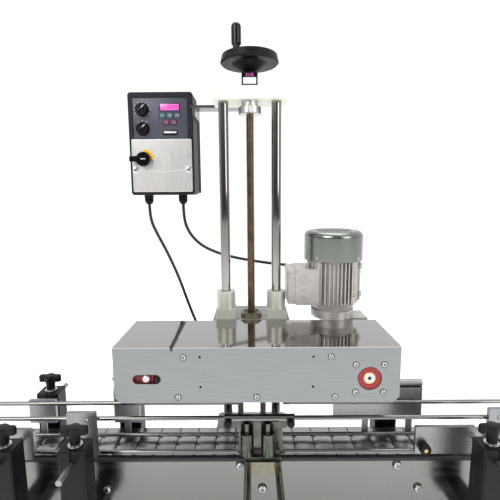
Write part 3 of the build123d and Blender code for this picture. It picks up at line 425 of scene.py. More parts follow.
light_aluminium, shader = finish("machined_aluminium", "#c8c8c4", 1, 0.34)
spread(light_aluminium, shader, "Roughness", grain(light_aluminium, 1.2, (1, 1, 5)), 0.26, 0.42)

bronze, shader = finish("oiled_bronze_thread", "#665641", 1, 0.34)
tint(bronze, shader, grain(bronze, 12), "#594a37", "#76644d")

nut_bronze, shader = finish("dull_bronze_nut", "#77715f", 0.8, 0.5)
tint(nut_bronze, shader, grain(nut_bronze, 5), "#6f6958", "#807a68")

red_primer, shader = finish("red_oxide_primer", "#6e1417", 0, 0.5)
tint(red_primer, shader, grain(red_primer, 4), "#631114", "#7c181b")

brass, shader = finish("plain_brass", "#c9a562", 1, 0.3)
spread(brass, shader, "Roughness", grain(brass, 1.5), 0.24, 0.38)

cast_aluminium, shader = finish("painted_cast_aluminium", "#b1aeaa", 0.45, 0.36)
tint(cast_aluminium, shader, grain(cast_aluminium, 16), "#aaa7a3", "#b9b6b2")
relief(cast_aluminium, shader, grain(cast_aluminium, 1.4), 0.1)

zinc_cowl, shader = finish("zinc_plated_sheet", "#7d827d", 1, 0.24)
tint(zinc_cowl, shader, grain(zinc_cowl, 30), "#797e78", "#828680")
spread(zinc_cowl, shader, "Roughness", grain(zinc_cowl, 4), 0.2, 0.29)

drive_aluminium, shader = finish("brushed_aluminium_cover", "#dcdad7", 0.9, 0.36)
strokes = grain(drive_aluminium, 0.8, (1, 1, 50), 4)
tint(drive_aluminium, shader, strokes, "#d3d1ce", "#e4e2df")
spread(drive_aluminium, shader, "Roughness", strokes, 0.3, 0.42)

# %% [markdown]
# ### Paint, plastic and rubber
# The column's top plate wears a cream powder coat with a slight orange peel. Knobs, handwheel and
# bracket posts are black nylon: a soft sheen broken up by a moulded grain. The controller's case is
# a dark grey moulding with a fine spark texture. The wear strips, belt and cable sheaths are duller.

# %% Paint, plastic and rubber finishes
cream_coat, shader = finish("cream_powder_coat", "#e2dfd5", 0, 0.42)
relief(cream_coat, shader, grain(cream_coat, 1.8, detail=1), 0.03)
tint(cream_coat, shader, grain(cream_coat, 40), "#dedbd0", "#e7e4da")

black_nylon, shader = finish("black_glass_filled_nylon", "#070708", 0, 0.42, Specular_IOR_Level=0.2)
relief(black_nylon, shader, grain(black_nylon, 0.9), 0.04)
spread(black_nylon, shader, "Roughness", grain(black_nylon, 6), 0.34, 0.48)

black_gloss, shader = finish("black_phenolic_moulding", "#060607", 0, 0.2, Specular_IOR_Level=0.3)
spread(black_gloss, shader, "Roughness", grain(black_gloss, 5), 0.14, 0.28)

wear_plastic, shader = finish("black_polyethylene_strip", "#141415", 0, 0.46)
relief(wear_plastic, shader, grain(wear_plastic, 1.5, (20, 1, 1)), 0.03)

case_plastic, shader = finish("dark_grey_abs_case", "#17181d", 0, 0.5, Specular_IOR_Level=0.25)
relief(case_plastic, shader, grain(case_plastic, 0.7), 0.03)
tint(case_plastic, shader, grain(case_plastic, 30), "#15161b", "#1a1b20")

panel_plastic, shader = finish("grey_panel_abs", "#434552", 0, 0.42)
relief(panel_plastic, shader, grain(panel_plastic, 0.6), 0.015)

seal_rubber, shader = finish("red_lip_seal", "#8a0d14", 0, 0.35)
relief(seal_rubber, shader, grain(seal_rubber, 1.2), 0.03)

belt_rubber, shader = finish("nitrile_toothed_belt", "#1c1c1e", 0, 0.62)
relief(belt_rubber, shader, grain(belt_rubber, 0.8), 0.05)

sheath, shader = finish("pvc_cable_sheath", "#121213", 0, 0.42)
relief(sheath, shader, grain(sheath, 2.5), 0.03)

# painted shade: this dark finish stands in for the shadow in screw sockets, under screw heads, in the cover
# joint and in the drive shaft's centre hole
painted_shade_steel, shader = finish("dark_socket_shadow", "#2a2a2b", 0.6, 0.5)
spread(painted_shade_steel, shader, "Roughness", grain(painted_shade_steel, 1), 0.42, 0.58)

# %% [markdown]
# Each CAD piece keeps its shape and takes the finish of its real material.

# %% Finishes of the CAD pieces
dressed = {
    "bed_sides front_rails rear_rails drive_arm": polished_sheet,
    "front_plate rear_plate": brushed_plate,
    "top_covers": mirror_cover,
    "guide_rods": hard_chrome,
    "top_plate": cream_coat,
    "column_foot carriage_plate": grey_steel,
    "screw_bush": light_aluminium,
    "guide_bushes": anodised,
    "lead_nut": nut_bronze,
    "worm_wheel": bronze,
    "cross_ties plate_screws head_ties shaft_bearings drive_shaft drive_pulley": turned_steel,
    "idler_pulley tension_screw_front tension_screw_rear motor_rotor": turned_steel,
    "tension_yoke": red_primer,
    "clamp_rods": dull_steel,
    "front_rail_plates rear_rail_plates": satin_plate,
    "gearbox_housing motor_shield motor_body terminal_lid": cast_aluminium,
    "fan_cowl": zinc_cowl,
    "drive_housing": case_plastic,
    "drive_cover": drive_aluminium,
    "handwheel rail_posts cable_glands": black_nylon,
    "wheel_handle speed_knob selector_knob isolator_handle position_indicator mains_plug": black_gloss,
    "wear_strips press_shoe": wear_plastic,
    "press_belt": belt_rubber,
    "seal_ring": seal_rubber,
    "mains_lead mains_coil motor_cable": sheath,
    "chain": chain_steel,
    "lead_screw": bronze,
    " ".join(f"wing_knob_{k}" for k in range(1, 7)): black_nylon,
}
for names, material in dressed.items():
    for name in names.split():
        wear(nodes[name], material)
guide_x, guide_half = 0.011, 0.064
# the faces by the capping point take the guide plate's painted reflection
plates = nodes["front_rail_plates"].data
plates.materials.append(guide_sheet_with_painted_reflection)
for face in plates.polygons:
    if abs(face.center.x - guide_x) < guide_half:
        face.material_index = 1
wear(mains_flex, sheath)
wear(motor_flex, sheath)
bare = [n for n in nodes if not any(n in names.split() for names in dressed)]
print("CAD pieces without a finish:", bare)

# %% [markdown]
# ## Two ways to start a piece
# Most small parts of a machine are either turned on a lathe or cut from a block. A turned piece
# starts as a filled circle: its face is extruded and scaled from one section to the next, as a
# lathe tool steps along. A milled piece starts as a box and gets its edges rounded, because no
# real edge is perfectly sharp and the rounded one catches the light.

# %% Turned pieces


def turned(name, base, toward, sections, sides=32, material=None):
    """A round piece from a list of (radius, height) sections in millimetres, pointing toward."""
    deselect()
    first_radius, first_height = sections[0]
    bpy.ops.mesh.primitive_circle_add(vertices=sides, radius=first_radius * MM, fill_type="NGON")
    piece = bpy.context.object
    piece.name = name
    bpy.ops.object.mode_set(mode="EDIT")
    bpy.ops.mesh.select_mode(type="FACE")
    bpy.ops.mesh.select_all(action="SELECT")
    radius, height = first_radius, first_height
    for new_radius, new_height in sections[1:]:
        lift = {"value": (0, 0, (new_height - height) * MM)}
        bpy.ops.mesh.extrude_region_move(TRANSFORM_OT_translate=lift)
        ratio = new_radius / radius
        bpy.ops.transform.resize(value=(ratio, ratio, 1), center_override=(0, 0, 0))
        radius, height = new_radius, new_height
    bpy.ops.mesh.select_all(action="SELECT")
    bpy.ops.mesh.remove_doubles(threshold=0.00001)
    bpy.ops.mesh.normals_make_consistent(inside=False)
    bpy.ops.object.mode_set(mode="OBJECT")
    piece.rotation_euler = Vector(toward).to_track_quat("Z", "Y").to_euler()
    piece.location = Vector(base) * MM + Vector(toward).normalized() * first_height * MM
    settle(piece)
    if material:
        wear(piece, material)
    return smooth(piece)


# %% Milled pieces


def milled(name, low, high, material=None, edge=0.5, segments=2):
    """A block between two corners in millimetres, with rounded edges."""
    deselect()
    middle = [(a + b) / 2 * MM for a, b in zip(low, high)]
    bpy.ops.mesh.primitive_cube_add(size=1, location=middle)
    piece = bpy.context.object
    piece.name = name
    piece.scale = [abs(b - a) * MM for a, b in zip(low, high)]
    settle(piece)
    use(piece, "BEVEL", width=edge * MM, segments=segments)
    if material:
        wear(piece, material)
    return smooth(piece, 50)


def ride_all(pieces, body):
    for piece in pieces:
        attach(piece, body)


# %% [markdown]
# ## The table-top chain
# Each link is a steel plate 38.1 mm long with a hinge barrel under its joint. Where the knuckles of
# neighbouring plates interlock, the gap turns into two short slanted slots. One link is modelled
# and repeated with an array, and the run is cut off at the bed's ends with a bisect. The return run
# is a copy turned upside down.

# %% One link
chain_low, chain_high = (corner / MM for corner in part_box("chain"))
chain_pitch = 38.1
half_chain = chain_high.y
plate_edge = 0.9
link_first = -15 * chain_pitch + 2.5
links_in_a_run = 31
# painted shade: the dark pieces in the chain's joints, slots and notches stand in for the shadow inside the
# gaps between links
gap_shade, shader = finish("painted_gap_shade", "#0c0c0d", 0, 0.55)
spread(gap_shade, shader, "Roughness", grain(gap_shade, 2), 0.45, 0.65)
link = [
    milled("link_plate", (link_first + plate_edge, -half_chain, deck - 4),
           (link_first + chain_pitch - plate_edge, half_chain, deck), chain_steel, 0.7),
    milled("link_body", (link_first + 6, -17, deck - 11.5), (link_first + chain_pitch - 6, 17, deck - 3.5),
           chain_steel, 1),
    turned("link_barrel", (link_first, -18, deck - 8), (0, 1, 0), [(3.6, 0), (4, 0.4), (4, 35.6), (3.6, 36)],
           16, chain_steel),
    milled("link_under", (link_first - 1, -half_chain + 1, deck - 3.8),
           (link_first + 1.5, half_chain - 1, deck - 1.6), gap_shade, 0.2),
]
for y, lean, reach in ((11, 0.5, 8), (-12, 0.45, 7)):
    slot = milled("link_slot", (-1.9, -reach / 2, -1), (1.9, reach / 2, 0.12), gap_shade, 0.3)
    slot.rotation_euler = (0, 0, lean)
    slot.location = ((link_first + 3.5) * MM, y * MM, deck * MM)
    settle(slot)
    notch = milled("link_notch", (link_first - 4, y - 1.4 + reach / 2 - 2, deck - 1),
                   (link_first + 2, y + 1.4 + reach / 2 - 2, deck + 0.12), gap_shade, 0.3)
    link += [slot, notch]
chain_run = join(link, "chain_carrying_run")

# %% The two runs
use(chain_run, "ARRAY", count=links_in_a_run, use_relative_offset=False, use_constant_offset=True,
    constant_offset_displace=(chain_pitch * MM, 0, 0))
bpy.ops.object.mode_set(mode="EDIT")
for side in (-1, 1):
    bpy.ops.mesh.select_all(action="SELECT")
    bpy.ops.mesh.bisect(plane_co=(side * chain_high.x * MM, 0, 0), plane_no=(side, 0, 0), use_fill=True,
                        clear_outer=True)
bpy.ops.object.mode_set(mode="OBJECT")
smooth(chain_run)
deselect()
chain_run.select_set(True)
bpy.ops.object.duplicate()
return_run = bpy.context.selected_objects[0]
return_run.name = "chain_return_run"
return_run.rotation_euler = (pi, 0, 0)
return_run.location = (0, 0, (deck + chain_low.z + 0.1) * MM)
settle(return_run)
ride_all([chain_run, return_run], "frame")
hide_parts("chain")
print("links in a run:", links_in_a_run, "pitch", chain_pitch, "mm")

# %% [markdown]
# ## The press belt
# The belt is a flat band with teeth on its outside, one every 8 mm, that grip the caps. Its outline
# is a racetrack, so a point's place is worked out from how far along the track it lies. The teeth
# are the same outline stepping in and out.

# %% Toothed belt
belt_low, belt_high = (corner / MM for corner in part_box("press_belt"))
shaft_z = (belt_low.z + belt_high.z) / 2
half_height = (belt_high.z - belt_low.z) / 2
left_x, right_x = belt_low.x + half_height, belt_high.x - half_height
band, root = half_height - 3.6, half_height - 1.9
track = 2 * (right_x - left_x) + tau * (band + 1)
tooth_count = round(track / 8)


def on_track(share, reach):
    """A point of the racetrack, reach millimetres out from the pulley axes."""
    straight, arc = right_x - left_x, pi * (band + 1)
    along = share % 1 * 2 * (straight + arc)
    if along < straight:
        return left_x + along, shaft_z - reach
    along -= straight
    if along < arc:
        angle = -pi / 2 + along / (band + 1)
        return right_x + reach * cos(angle), shaft_z + reach * sin(angle)
    along -= arc
    if along < straight:
        return right_x - along, shaft_z + reach
    angle = pi / 2 + (along - straight) / (band + 1)
    return left_x + reach * cos(angle), shaft_z + reach * sin(angle)


outer_reach = []
for tooth in range(tooth_count):
    for part, reach in ((0.0, root), (0.42, root), (0.54, half_height), (0.88, half_height)):
        outer_reach.append(((tooth + part) / tooth_count, reach))
belt_mesh = bmesh.new()
rings = []
for y in (belt_low.y, belt_high.y):
    for level in (False, True):
        spots = [(*on_track(s, r if level else band), y) for s, r in outer_reach]
        rings.append([belt_mesh.verts.new((x * MM, y * MM, z * MM)) for x, z, y in spots])
inner_front, outer_front, inner_back, outer_back = rings
count = len(outer_reach)
for i in range(count):
    j = (i + 1) % count
    for a, b in ((outer_front, inner_front), (inner_back, outer_back), (outer_back, outer_front),
                 (inner_front, inner_back)):
        belt_mesh.faces.new((a[i], a[j], b[j], b[i]))
bmesh.ops.recalc_face_normals(belt_mesh, faces=belt_mesh.faces)
belt_data = bpy.data.meshes.new("toothed_belt")
belt_mesh.to_mesh(belt_data)
toothed_belt = bpy.data.objects.new("toothed_belt", belt_data)
scene.collection.objects.link(toothed_belt)
wear(toothed_belt, belt_rubber)
smooth(toothed_belt, 25)
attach(toothed_belt, "head")
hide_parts("press_belt")
print("belt teeth:", tooth_count)

# %% [markdown]
# ## Lead screw
# The thread is one pitch of a trapezoid profile, swept up a helix by the Screw modifier. Above it
# sits a knurled aluminium collar. The knurl is made by pulling every other corner of the collar's
# rim inwards, which is what a straight knurling wheel does.

# %% Thread, collar and journal
screw_low, screw_high = (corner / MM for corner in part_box("lead_screw"))
screw_x = (screw_low.x + screw_high.x) / 2
screw_y = (screw_low.y + screw_high.y) / 2
collar_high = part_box("screw_bush")[0].z / MM - 0.3
collar_low = collar_high - 16
thread_pitch = 4
profile = [(6.6, 0), (6.6, 1.2), (8, 1.7), (8, 3.5), (6.6, 4)]
thread_data = bpy.data.meshes.new("thread")
thread_data.from_pydata([(r * MM, 0, z * MM) for r, z in profile], [(i, i + 1) for i in range(4)], [])
thread = bpy.data.objects.new("screw_thread", thread_data)
scene.collection.objects.link(thread)
turns = int((collar_low - screw_low.z - 4) / thread_pitch)
use(thread, "SCREW", angle=tau, screw_offset=thread_pitch * MM, iterations=turns, steps=20,
    render_steps=20, use_merge_vertices=True)
thread.location = (screw_x * MM, screw_y * MM, screw_low.z * MM)
settle(thread)
wear(thread, bronze)
smooth(thread, 40)
screw_tip = turned("screw_core", (screw_x, screw_y, screw_low.z), (0, 0, 1),
                   [(5.5, 0), (6.7, 1.2), (6.7, collar_low - screw_low.z)], 24, bronze)
collar = turned("knurled_collar", (screw_x, screw_y, collar_low), (0, 0, 1),
                [(19, 0), (20.5, 0.2), (22.5, 2), (22.5, 14), (20.5, 15.8), (12, 16)], 120, light_aluminium)
for corner in collar.data.vertices:
    around = Vector((corner.co.x / MM - screw_x, corner.co.y / MM - screw_y))
    if around.length > 22 and corner.index % 2:
        corner.co.x = (screw_x + around.x * 0.965) * MM
        corner.co.y = (screw_y + around.y * 0.965) * MM
journal = turned("screw_journal", (screw_x, screw_y, collar_high), (0, 0, 1),
                 [(6, 0), (6, screw_high.z - collar_high - 1), (5, screw_high.z - collar_high)], 24,
                 turned_steel)
ride_all([thread, screw_tip, collar, journal], "screw")
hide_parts("lead_screw")

# %% [markdown]
# ## Button screws
# The head's plates are held by button-head screws: a low dome with a hexagon socket. A socket is
# always in shadow, so it gets a dark finish, with a small bright floor. Each screw is modelled at its own
# place by the same function, and all those on one plate are joined.

# %% Button screws


def button_screw(x, y, z, toward, radius=5, height=2.6):
    """A domed screw head with a dark hexagon socket and a dark ring round its foot, both painted shade,
    standing on the point.
    """
    dome = [(radius, 0), (radius, height * 0.25), (radius * 0.9, height * 0.62),
            (radius * 0.66, height * 0.92), (radius * 0.5, height), (radius * 0.44, height * 0.96)]
    head = turned("button_head", (x, y, z), toward, dome, 24, turned_steel)
    # painted shade: a dark ring round the head's foot stands in for the shadow where the head meets the
    # surface below
    shade_ring = turned("button_shade_ring", (x, y, z), toward, [(radius * 1.17, 0), (radius * 1.17, height * 0.2)],
                    24, painted_shade_steel)
    socket = turned("button_socket", (x, y, z), toward,
                    [(radius * 0.5, height), (radius * 0.5, height * 1.03)], 6, painted_shade_steel)
    floor = turned("button_socket_floor", (x, y, z), toward,
                   [(radius * 0.2, height), (radius * 0.2, height * 1.06)], 6, turned_steel)
    return join([head, shade_ring, socket, floor], "button_head")


head_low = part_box("front_plate")[0] / MM
cover_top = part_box("top_covers")[1].z / MM
shaft_x = (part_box("seal_ring")[0].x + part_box("seal_ring")[1].x) / 2 / MM
plate_spots = [(x, cover_top - 18) for x in (-120, 134)] + [(x, deck + 130) for x in (-131, 6, 142)]
bearing_spots = [(shaft_x + 24.3 * i, shaft_z + 25 * j) for i in (-1, 1) for j in (-1, 1)]
rear_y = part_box("rear_plate")[1].y / MM
front_heads = [button_screw(x, head_low.y, z, (0, -1, 0)) for x, z in plate_spots + bearing_spots]
rear_heads = [button_screw(x, rear_y, z, (0, 1, 0)) for x, z in plate_spots]
end_heads = [button_screw(head_low.x, y, z, (-1, 0, 0), 6.5, 5) for y in (-61, 59) for z in (shaft_z - 23,)]
head_screws = join(front_heads + rear_heads + end_heads, "head_button_screws")
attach(head_screws, "head")
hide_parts("plate_screws")
for name in ("tension_screw_front", "tension_screw_rear"):
    low, high = (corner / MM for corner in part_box(name))
    grip = button_screw(low.x + 6, (low.y + high.y) / 2, shaft_z, (-1, 0, 0), 6.5, 6)
    grip.name = name + "_head"
    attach(grip, name)
tie_low, tie_high = (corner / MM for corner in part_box("cross_ties"))
tie_heads = []
for x in (-316, -25, 266):
    for dx, z in ((0, deck - 19), (41, deck - 66)):
        for y, way in ((tie_low.y, -1), (tie_high.y, 1)):
            hidden = way > 0 and x == -25
            if not hidden:
                tie_heads.append(button_screw(x + dx, y - way * 1.5, z, (0, way, 0), 7, 3.2))
bed_screws = join(tie_heads, "bed_button_screws")
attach(bed_screws, "frame")

# %% [markdown]
# ## The head's small parts
# A dark joint bar closes the gap between the two folded covers; its dark finish is painted shade in the gap.

# %% Cover joint
cover_low, cover_high = (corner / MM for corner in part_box("top_covers"))
joint_x = -140
# painted shade: the dark bar under the rib stands in for the shadow inside the joint
joint_shade_bar = milled("cover_joint_shade_bar", (joint_x - 9, cover_low.y + 2, cover_high.z - 4),
                   (joint_x + 9, cover_high.y - 2, cover_high.z - 1.7), painted_shade_steel, 0.4)
joint_rib = milled("cover_joint_rib", (joint_x - 2.2, cover_low.y + 0.6, cover_high.z - 2),
                   (joint_x + 2.2, cover_high.y - 0.6, cover_high.z - 0.4), belt_rubber, 0.6)
joint_tabs = [milled("cover_joint_tab", (joint_x - 2.6, cover_low.y, cover_high.z - 7),
                     (joint_x + 2.6, cover_low.y + 0.9, cover_high.z - 0.3), belt_rubber, 0.3)]
cover_joint = join([joint_shade_bar, joint_rib] + joint_tabs, "cover_joint")
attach(cover_joint, "head")

# %% [markdown]
# ## Knobs on the guide rails
# Two small black thumb screws lock the sliding sleeve, and a round knob with a brass insert holds
# the front right plate. They are turned. The six wing knobs are moulded: the CAD shape is copied,
# its edges are rounded, and its washer gets a metal finish.

# %% Thumb screws and round knob
rail_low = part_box("front_rails")[0] / MM
sleeve_y = rail_low.y
thumbs = [
    turned("sleeve_thumb_screw", (x, sleeve_y + 0.5, deck + 74), (0, -1, 0),
           [(3.5, 0), (3.5, 3), (6.2, 3.4), (7, 4.6), (7, 11), (6.2, 12.4), (4.5, 13)], 24, black_nylon)
    for x in (-46, 67)
]
plate_setback = 5
plate_front = sleeve_y - plate_setback
knob_spot = (306, plate_front, deck + 27)
round_knob = turned("round_plate_knob", knob_spot, (0, -1, 0),
                    [(6, 0), (6, 3), (9, 3.6), (10, 5), (10, 12), (9.2, 13.4), (7.5, 14)], 32, black_nylon)
brass_core = turned("round_knob_insert", knob_spot, (0, -1, 0), [(3.4, 13.6), (3.4, 14.3), (2.6, 14.5)],
                    20, brass)
ride_all(thumbs + [round_knob, brass_core], "front_rail_set")

# %% Wing knobs
knob_tall, washer_thick = 34, 2.2
for k in range(1, 7):
    node = nodes[f"wing_knob_{k}"]
    deselect()
    node.select_set(True)
    bpy.context.view_layer.objects.active = node
    bpy.ops.object.duplicate()
    grip = bpy.context.object
    grip.parent = None
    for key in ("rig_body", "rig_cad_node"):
        if key in grip:
            del grip[key]
    grip.name = f"wing_grip_{k}"
    pick(grip)
    bpy.ops.object.mode_set(mode="EDIT")
    bpy.ops.mesh.select_all(action="SELECT")
    bpy.ops.mesh.remove_doubles(threshold=0.00002)
    bpy.ops.mesh.dissolve_limited(angle_limit=radians(2))
    bpy.ops.object.mode_set(mode="OBJECT")
    use(grip, "BEVEL", width=1.3 * MM, segments=3, limit_method="ANGLE", angle_limit=radians(35))
    grip.data.materials.append(turned_steel)
    washer_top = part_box(f"wing_knob_{k}")[1].z - (knob_tall - washer_thick) * MM
    for face in grip.data.polygons:
        if face.center.z < washer_top:
            face.material_index = 1
    smooth(grip, 40)
    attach(grip, f"wing_knob_{k}")
    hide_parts(f"wing_knob_{k}")

# %% [markdown]
# ## Screws in the rail plates
# Each guide plate is fixed to its bracket rod by a small socket screw.

# %% Plate screws
rear_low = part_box("rear_rail_plates")[0] / MM
front_plate_spots = [(-418, deck + 50), (-300, deck + 80), (395, deck + 26), (440, deck + 82),
                     (440, deck + 26)]
rear_plate_spots = [(-416, deck + 66), (-249, deck + 88), (-249, deck + 50), (172, deck + 66),
                    (262, deck + 66), (307, deck + 92), (307, deck + 52)]
front_set = [button_screw(x, plate_front, z, (0, -1, 0), 3.6, 1.8) for x, z in front_plate_spots]
rear_set = [button_screw(x, rear_low.y + 5.4, z, (0, -1, 0), 3.6, 1.8) for x, z in rear_plate_spots]
front_set_screws = join(front_set, "front_rail_screws")
rear_set_screws = join(rear_set, "rear_rail_screws")
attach(front_set_screws, "front_rail_set")
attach(rear_set_screws, "rear_rail_set")

# %% [markdown]
# ## The speed controller
# The upper half is a recessed panel with two knobs, a small lit display, five rubber keys and a
# label slot. The lower half is a brushed aluminium cover with the isolator. The display shows a
# made-up running speed. Nothing else is lettered.

# %% Panel colours
print_white, shader = finish("white_pad_print", "#dcdde0", 0, 0.5)
spread(print_white, shader, "Roughness", grain(print_white, 1), 0.45, 0.55)
print_yellow, shader = finish("yellow_isolator_ring", "#f0b90f", 0, 0.45)
tint(print_yellow, shader, grain(print_yellow, 4), "#ecb30a", "#f5c11c")
key_teal, shader = finish("teal_rubber_key", "#4f7c7d", 0, 0.55)
tint(key_teal, shader, grain(key_teal, 3), "#4a7677", "#558384")
key_grey, shader = finish("grey_rubber_key", "#6d7587", 0, 0.55)
tint(key_grey, shader, grain(key_grey, 3), "#687082", "#737b8d")
key_mauve, shader = finish("mauve_rubber_key", "#7d4a63", 0, 0.55)
tint(key_mauve, shader, grain(key_mauve, 3), "#78465e", "#835069")
display_glass, shader = finish("pink_display_window", "#d858a8", 0, 0.25)
tint(display_glass, shader, grain(display_glass, 9), "#b46fc0", "#e84aa0")
shader.inputs["Emission Color"].default_value = colour("#c964b8")
shader.inputs["Emission Strength"].default_value = 0.35
digit_red, shader = finish("lit_display_digit", "#f3177a", 0, 0.3)
tint(digit_red, shader, grain(digit_red, 5), "#ee1375", "#f72584")
shader.inputs["Emission Color"].default_value = colour("#ff2a86")
shader.inputs["Emission Strength"].default_value = 0.5

# %% Flat figures


def figures(name, words, place, height, material, depth=0.2):
    """Generic figures as a thin mesh, centred on a place in millimetres and facing the front."""
    deselect()
    bpy.ops.object.text_add()
    text = bpy.context.object
    text.name = name
    text.data.body = words
    text.data.size = height * MM / 0.7
    text.data.align_x = "CENTER"
    text.data.align_y = "CENTER"
    text.data.extrude = depth * MM
    text.data.resolution_u = 3
    bpy.ops.object.convert(target="MESH")
    text.rotation_euler = (pi / 2, 0, 0)
    text.location = Vector(place) * MM
    return wear(settle(text), material)


# %% Panel, display and keys
drive_low, drive_high = (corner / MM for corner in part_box("drive_housing"))
face_y = drive_low.y + 2
panel_left, panel_right = drive_low.x + 10.4, drive_high.x - 12.4
panel_low, panel_high = drive_high.z - 102.6, drive_high.z - 12.4
knob_x = drive_low.x + 32
panel = milled("controller_panel", (panel_left, face_y - 0.35, panel_low),
               (panel_right, face_y + 0.4, panel_high), panel_plastic, 0.3)
panel_pieces = [panel]
display_x, display_z = drive_low.x + 94, drive_high.z - 33
panel_pieces.append(milled("display_bezel", (display_x - 23, face_y - 0.7, display_z - 9),
                           (display_x + 23, face_y - 0.2, display_z + 9), black_gloss, 0.25))
panel_pieces.append(milled("display_window", (display_x - 21, face_y - 0.95, display_z - 7),
                           (display_x + 21, face_y - 0.5, display_z + 7), display_glass, 0.2))
panel_pieces.append(figures("display_figures", "24.0", (display_x + 6, face_y - 1.1, display_z), 9,
                            digit_red, 0.25))
key_rows = ((display_z - 18, (-17, 0, 17), (key_teal, key_grey, key_grey)),
            (display_z - 33, (-8.5, 8.5), (key_mauve, key_mauve)))
for z, places, materials in key_rows:
    for dx, material in zip(places, materials):
        panel_pieces.append(milled("key_frame", (display_x + dx - 7, face_y - 0.7, z - 6),
                                   (display_x + dx + 7, face_y - 0.2, z + 6), black_nylon, 0.25))
        panel_pieces.append(milled("key_top", (display_x + dx - 5.4, face_y - 1.3, z - 4.4),
                                   (display_x + dx + 5.4, face_y - 0.4, z + 4.4), material, 0.4, 3))
slot_z = display_z - 56
panel_pieces.append(milled("label_slot", (display_x - 17, face_y - 1, slot_z - 5.5),
                           (display_x + 17, face_y - 0.2, slot_z + 5.5), black_gloss, 0.4))
panel_pieces.append(milled("label_stripe", (display_x - 14, face_y - 1.25, slot_z - 0.6),
                           (display_x + 14, face_y - 0.8, slot_z + 3.2), print_white, 0.15))

# %% Scale marks round the two knobs
speed_z, selector_z = drive_high.z - 38, drive_high.z - 80
for k in range(9):
    angle = radians(-120 + 30 * k)
    spot = (knob_x + 17.5 * sin(angle), face_y - 0.2, speed_z + 17.5 * cos(angle))
    panel_pieces.append(turned("scale_dot", spot, (0, -1, 0), [(1.0, 0), (1.0, 0.35), (0.8, 0.45)], 12,
                               print_white))
for degrees_round in (-30, 0, 30):
    angle = radians(degrees_round)
    spot = (knob_x + 18 * sin(angle), face_y - 0.2, selector_z + 18 * cos(angle))
    panel_pieces.append(turned("selector_dot", spot, (0, -1, 0), [(1.1, 0), (1.1, 0.35), (0.9, 0.45)], 12,
                               print_white))
for z in (speed_z, selector_z):
    panel_pieces.append(turned("knob_collar", (knob_x, face_y + 0.1, z), (0, -1, 0),
                               [(15.3, 0), (15.3, 0.5), (14.6, 0.9), (13.6, 0.9)], 40, black_nylon))
control_panel = join(panel_pieces, "control_panel")
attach(control_panel, "frame")

# %% Knob grips
knob_ribs = 24
for body, z, lean in (("speed_knob", speed_z, 42), ("selector_knob", selector_z, 46)):
    low, high = (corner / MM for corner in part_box(body))
    top = low.y
    grip = milled(body + "_grip", (knob_x - 3.2, top - 1.5, z - 11.5), (knob_x + 3.2, top + 0.5, z + 11.5),
                  black_gloss, 1.0, 3)
    line = milled(body + "_line", (knob_x - 0.7, top - 1.7, z + 3), (knob_x + 0.7, top - 1.2, z + 11),
                  print_white, 0.15)
    ribs = []
    for k in range(knob_ribs):
        angle = tau * k / knob_ribs
        spot = (knob_x + 13 * cos(angle), low.y + 2, z + 13 * sin(angle))
        ribs.append(turned(body + "_rib", spot, (0, 1, 0), [(0.7, 0), (0.8, 0.4), (0.8, 9)], 8, black_gloss))
    bar = join([grip, line], body + "_bar")
    pivot = Matrix.Translation(Vector((knob_x, top, z)) * MM)
    bar.data.transform(pivot @ Matrix.Rotation(radians(lean), 4, "Y") @ pivot.inverted())
    ride_all([join([bar] + ribs, body + "_grip")], body)

# %% [markdown]
# The isolator's yellow ring is a quarter of a flat ring, made by turning one short edge about the
# handle's axis with the Screw modifier and giving it thickness.

# %% Lower cover
cover_box_low, cover_box_high = (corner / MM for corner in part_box("drive_cover"))
cover_face = cover_box_low.y
isolator_x, isolator_z = knob_x + 2, drive_low.z + 80
ring_data = bpy.data.meshes.new("ring")
ring_data.from_pydata([(0, 0, 15 * MM), (0, 0, 22.5 * MM)], [(0, 1)], [])
ring = bpy.data.objects.new("isolator_ring", ring_data)
scene.collection.objects.link(ring)
use(ring, "SCREW", axis="Y", angle=pi / 2, steps=24, render_steps=24, use_merge_vertices=True)
use(ring, "SOLIDIFY", thickness=0.4 * MM, offset=0)
ring.location = (isolator_x * MM, (cover_face - 0.25) * MM, isolator_z * MM)
settle(ring)
pick(ring)
bpy.ops.object.mode_set(mode="EDIT")
bpy.ops.mesh.select_all(action="SELECT")
bpy.ops.mesh.normals_make_consistent(inside=False)
bpy.ops.object.mode_set(mode="OBJECT")
wear(ring, print_yellow)
cover_left, cover_right = cover_box_low.x, cover_box_high.x
seam_z = cover_box_low.z + 50
seam_ends = (cover_left + 8, cover_right - 8)
seam_points = [
    (seam_ends[0], cover_face - 0.1, seam_z),
    (cover_left + 50, cover_face - 0.1, seam_z - 4.5),
    (cover_right - 50, cover_face - 0.1, seam_z - 4.5),
    (seam_ends[1], cover_face - 0.1, seam_z),
]
seam = smooth_line("cover_seam", seam_points)
seam.data.bevel_depth = 0.7 * MM
seam.data.bevel_resolution = 2
pick(seam)
bpy.ops.object.convert(target="MESH")
seam = wear(bpy.context.object, drive_aluminium)
boss_shape = [(7.5, -0.5), (7.5, 0.6), (6.6, 1.2)]
bosses = [turned("cover_boss", (x, cover_face, seam_z), (0, -1, 0), boss_shape, 32, drive_aluminium)
          for x in seam_ends]
fixings = [button_screw(x, cover_face - 1.2, seam_z, (0, -1, 0), 3.8, 1.8) for x in seam_ends]
cover_trim = join([ring, seam] + bosses + fixings, "controller_cover_trim")
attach(cover_trim, "frame")
handle_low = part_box("isolator_handle")[0] / MM
pointer = milled("isolator_pointer", (isolator_x - 4, handle_low.y - 0.3, isolator_z - 0.9),
                 (isolator_x + 7, handle_low.y + 0.3, isolator_z + 0.9), print_white, 0.2)
grip_rim = turned("isolator_rim", (isolator_x, handle_low.y + 8.1, isolator_z), (0, -1, 0),
                  [(16, 0), (16, 1.6), (14.6, 2.6), (13.4, 2.6), (13.2, 1.8)], 40, black_gloss)
ride_all([pointer, grip_rim], "isolator_handle")

# %% [markdown]
# The case behind is a finned heat sink. Three upright ribs and two bosses stand on its right side.

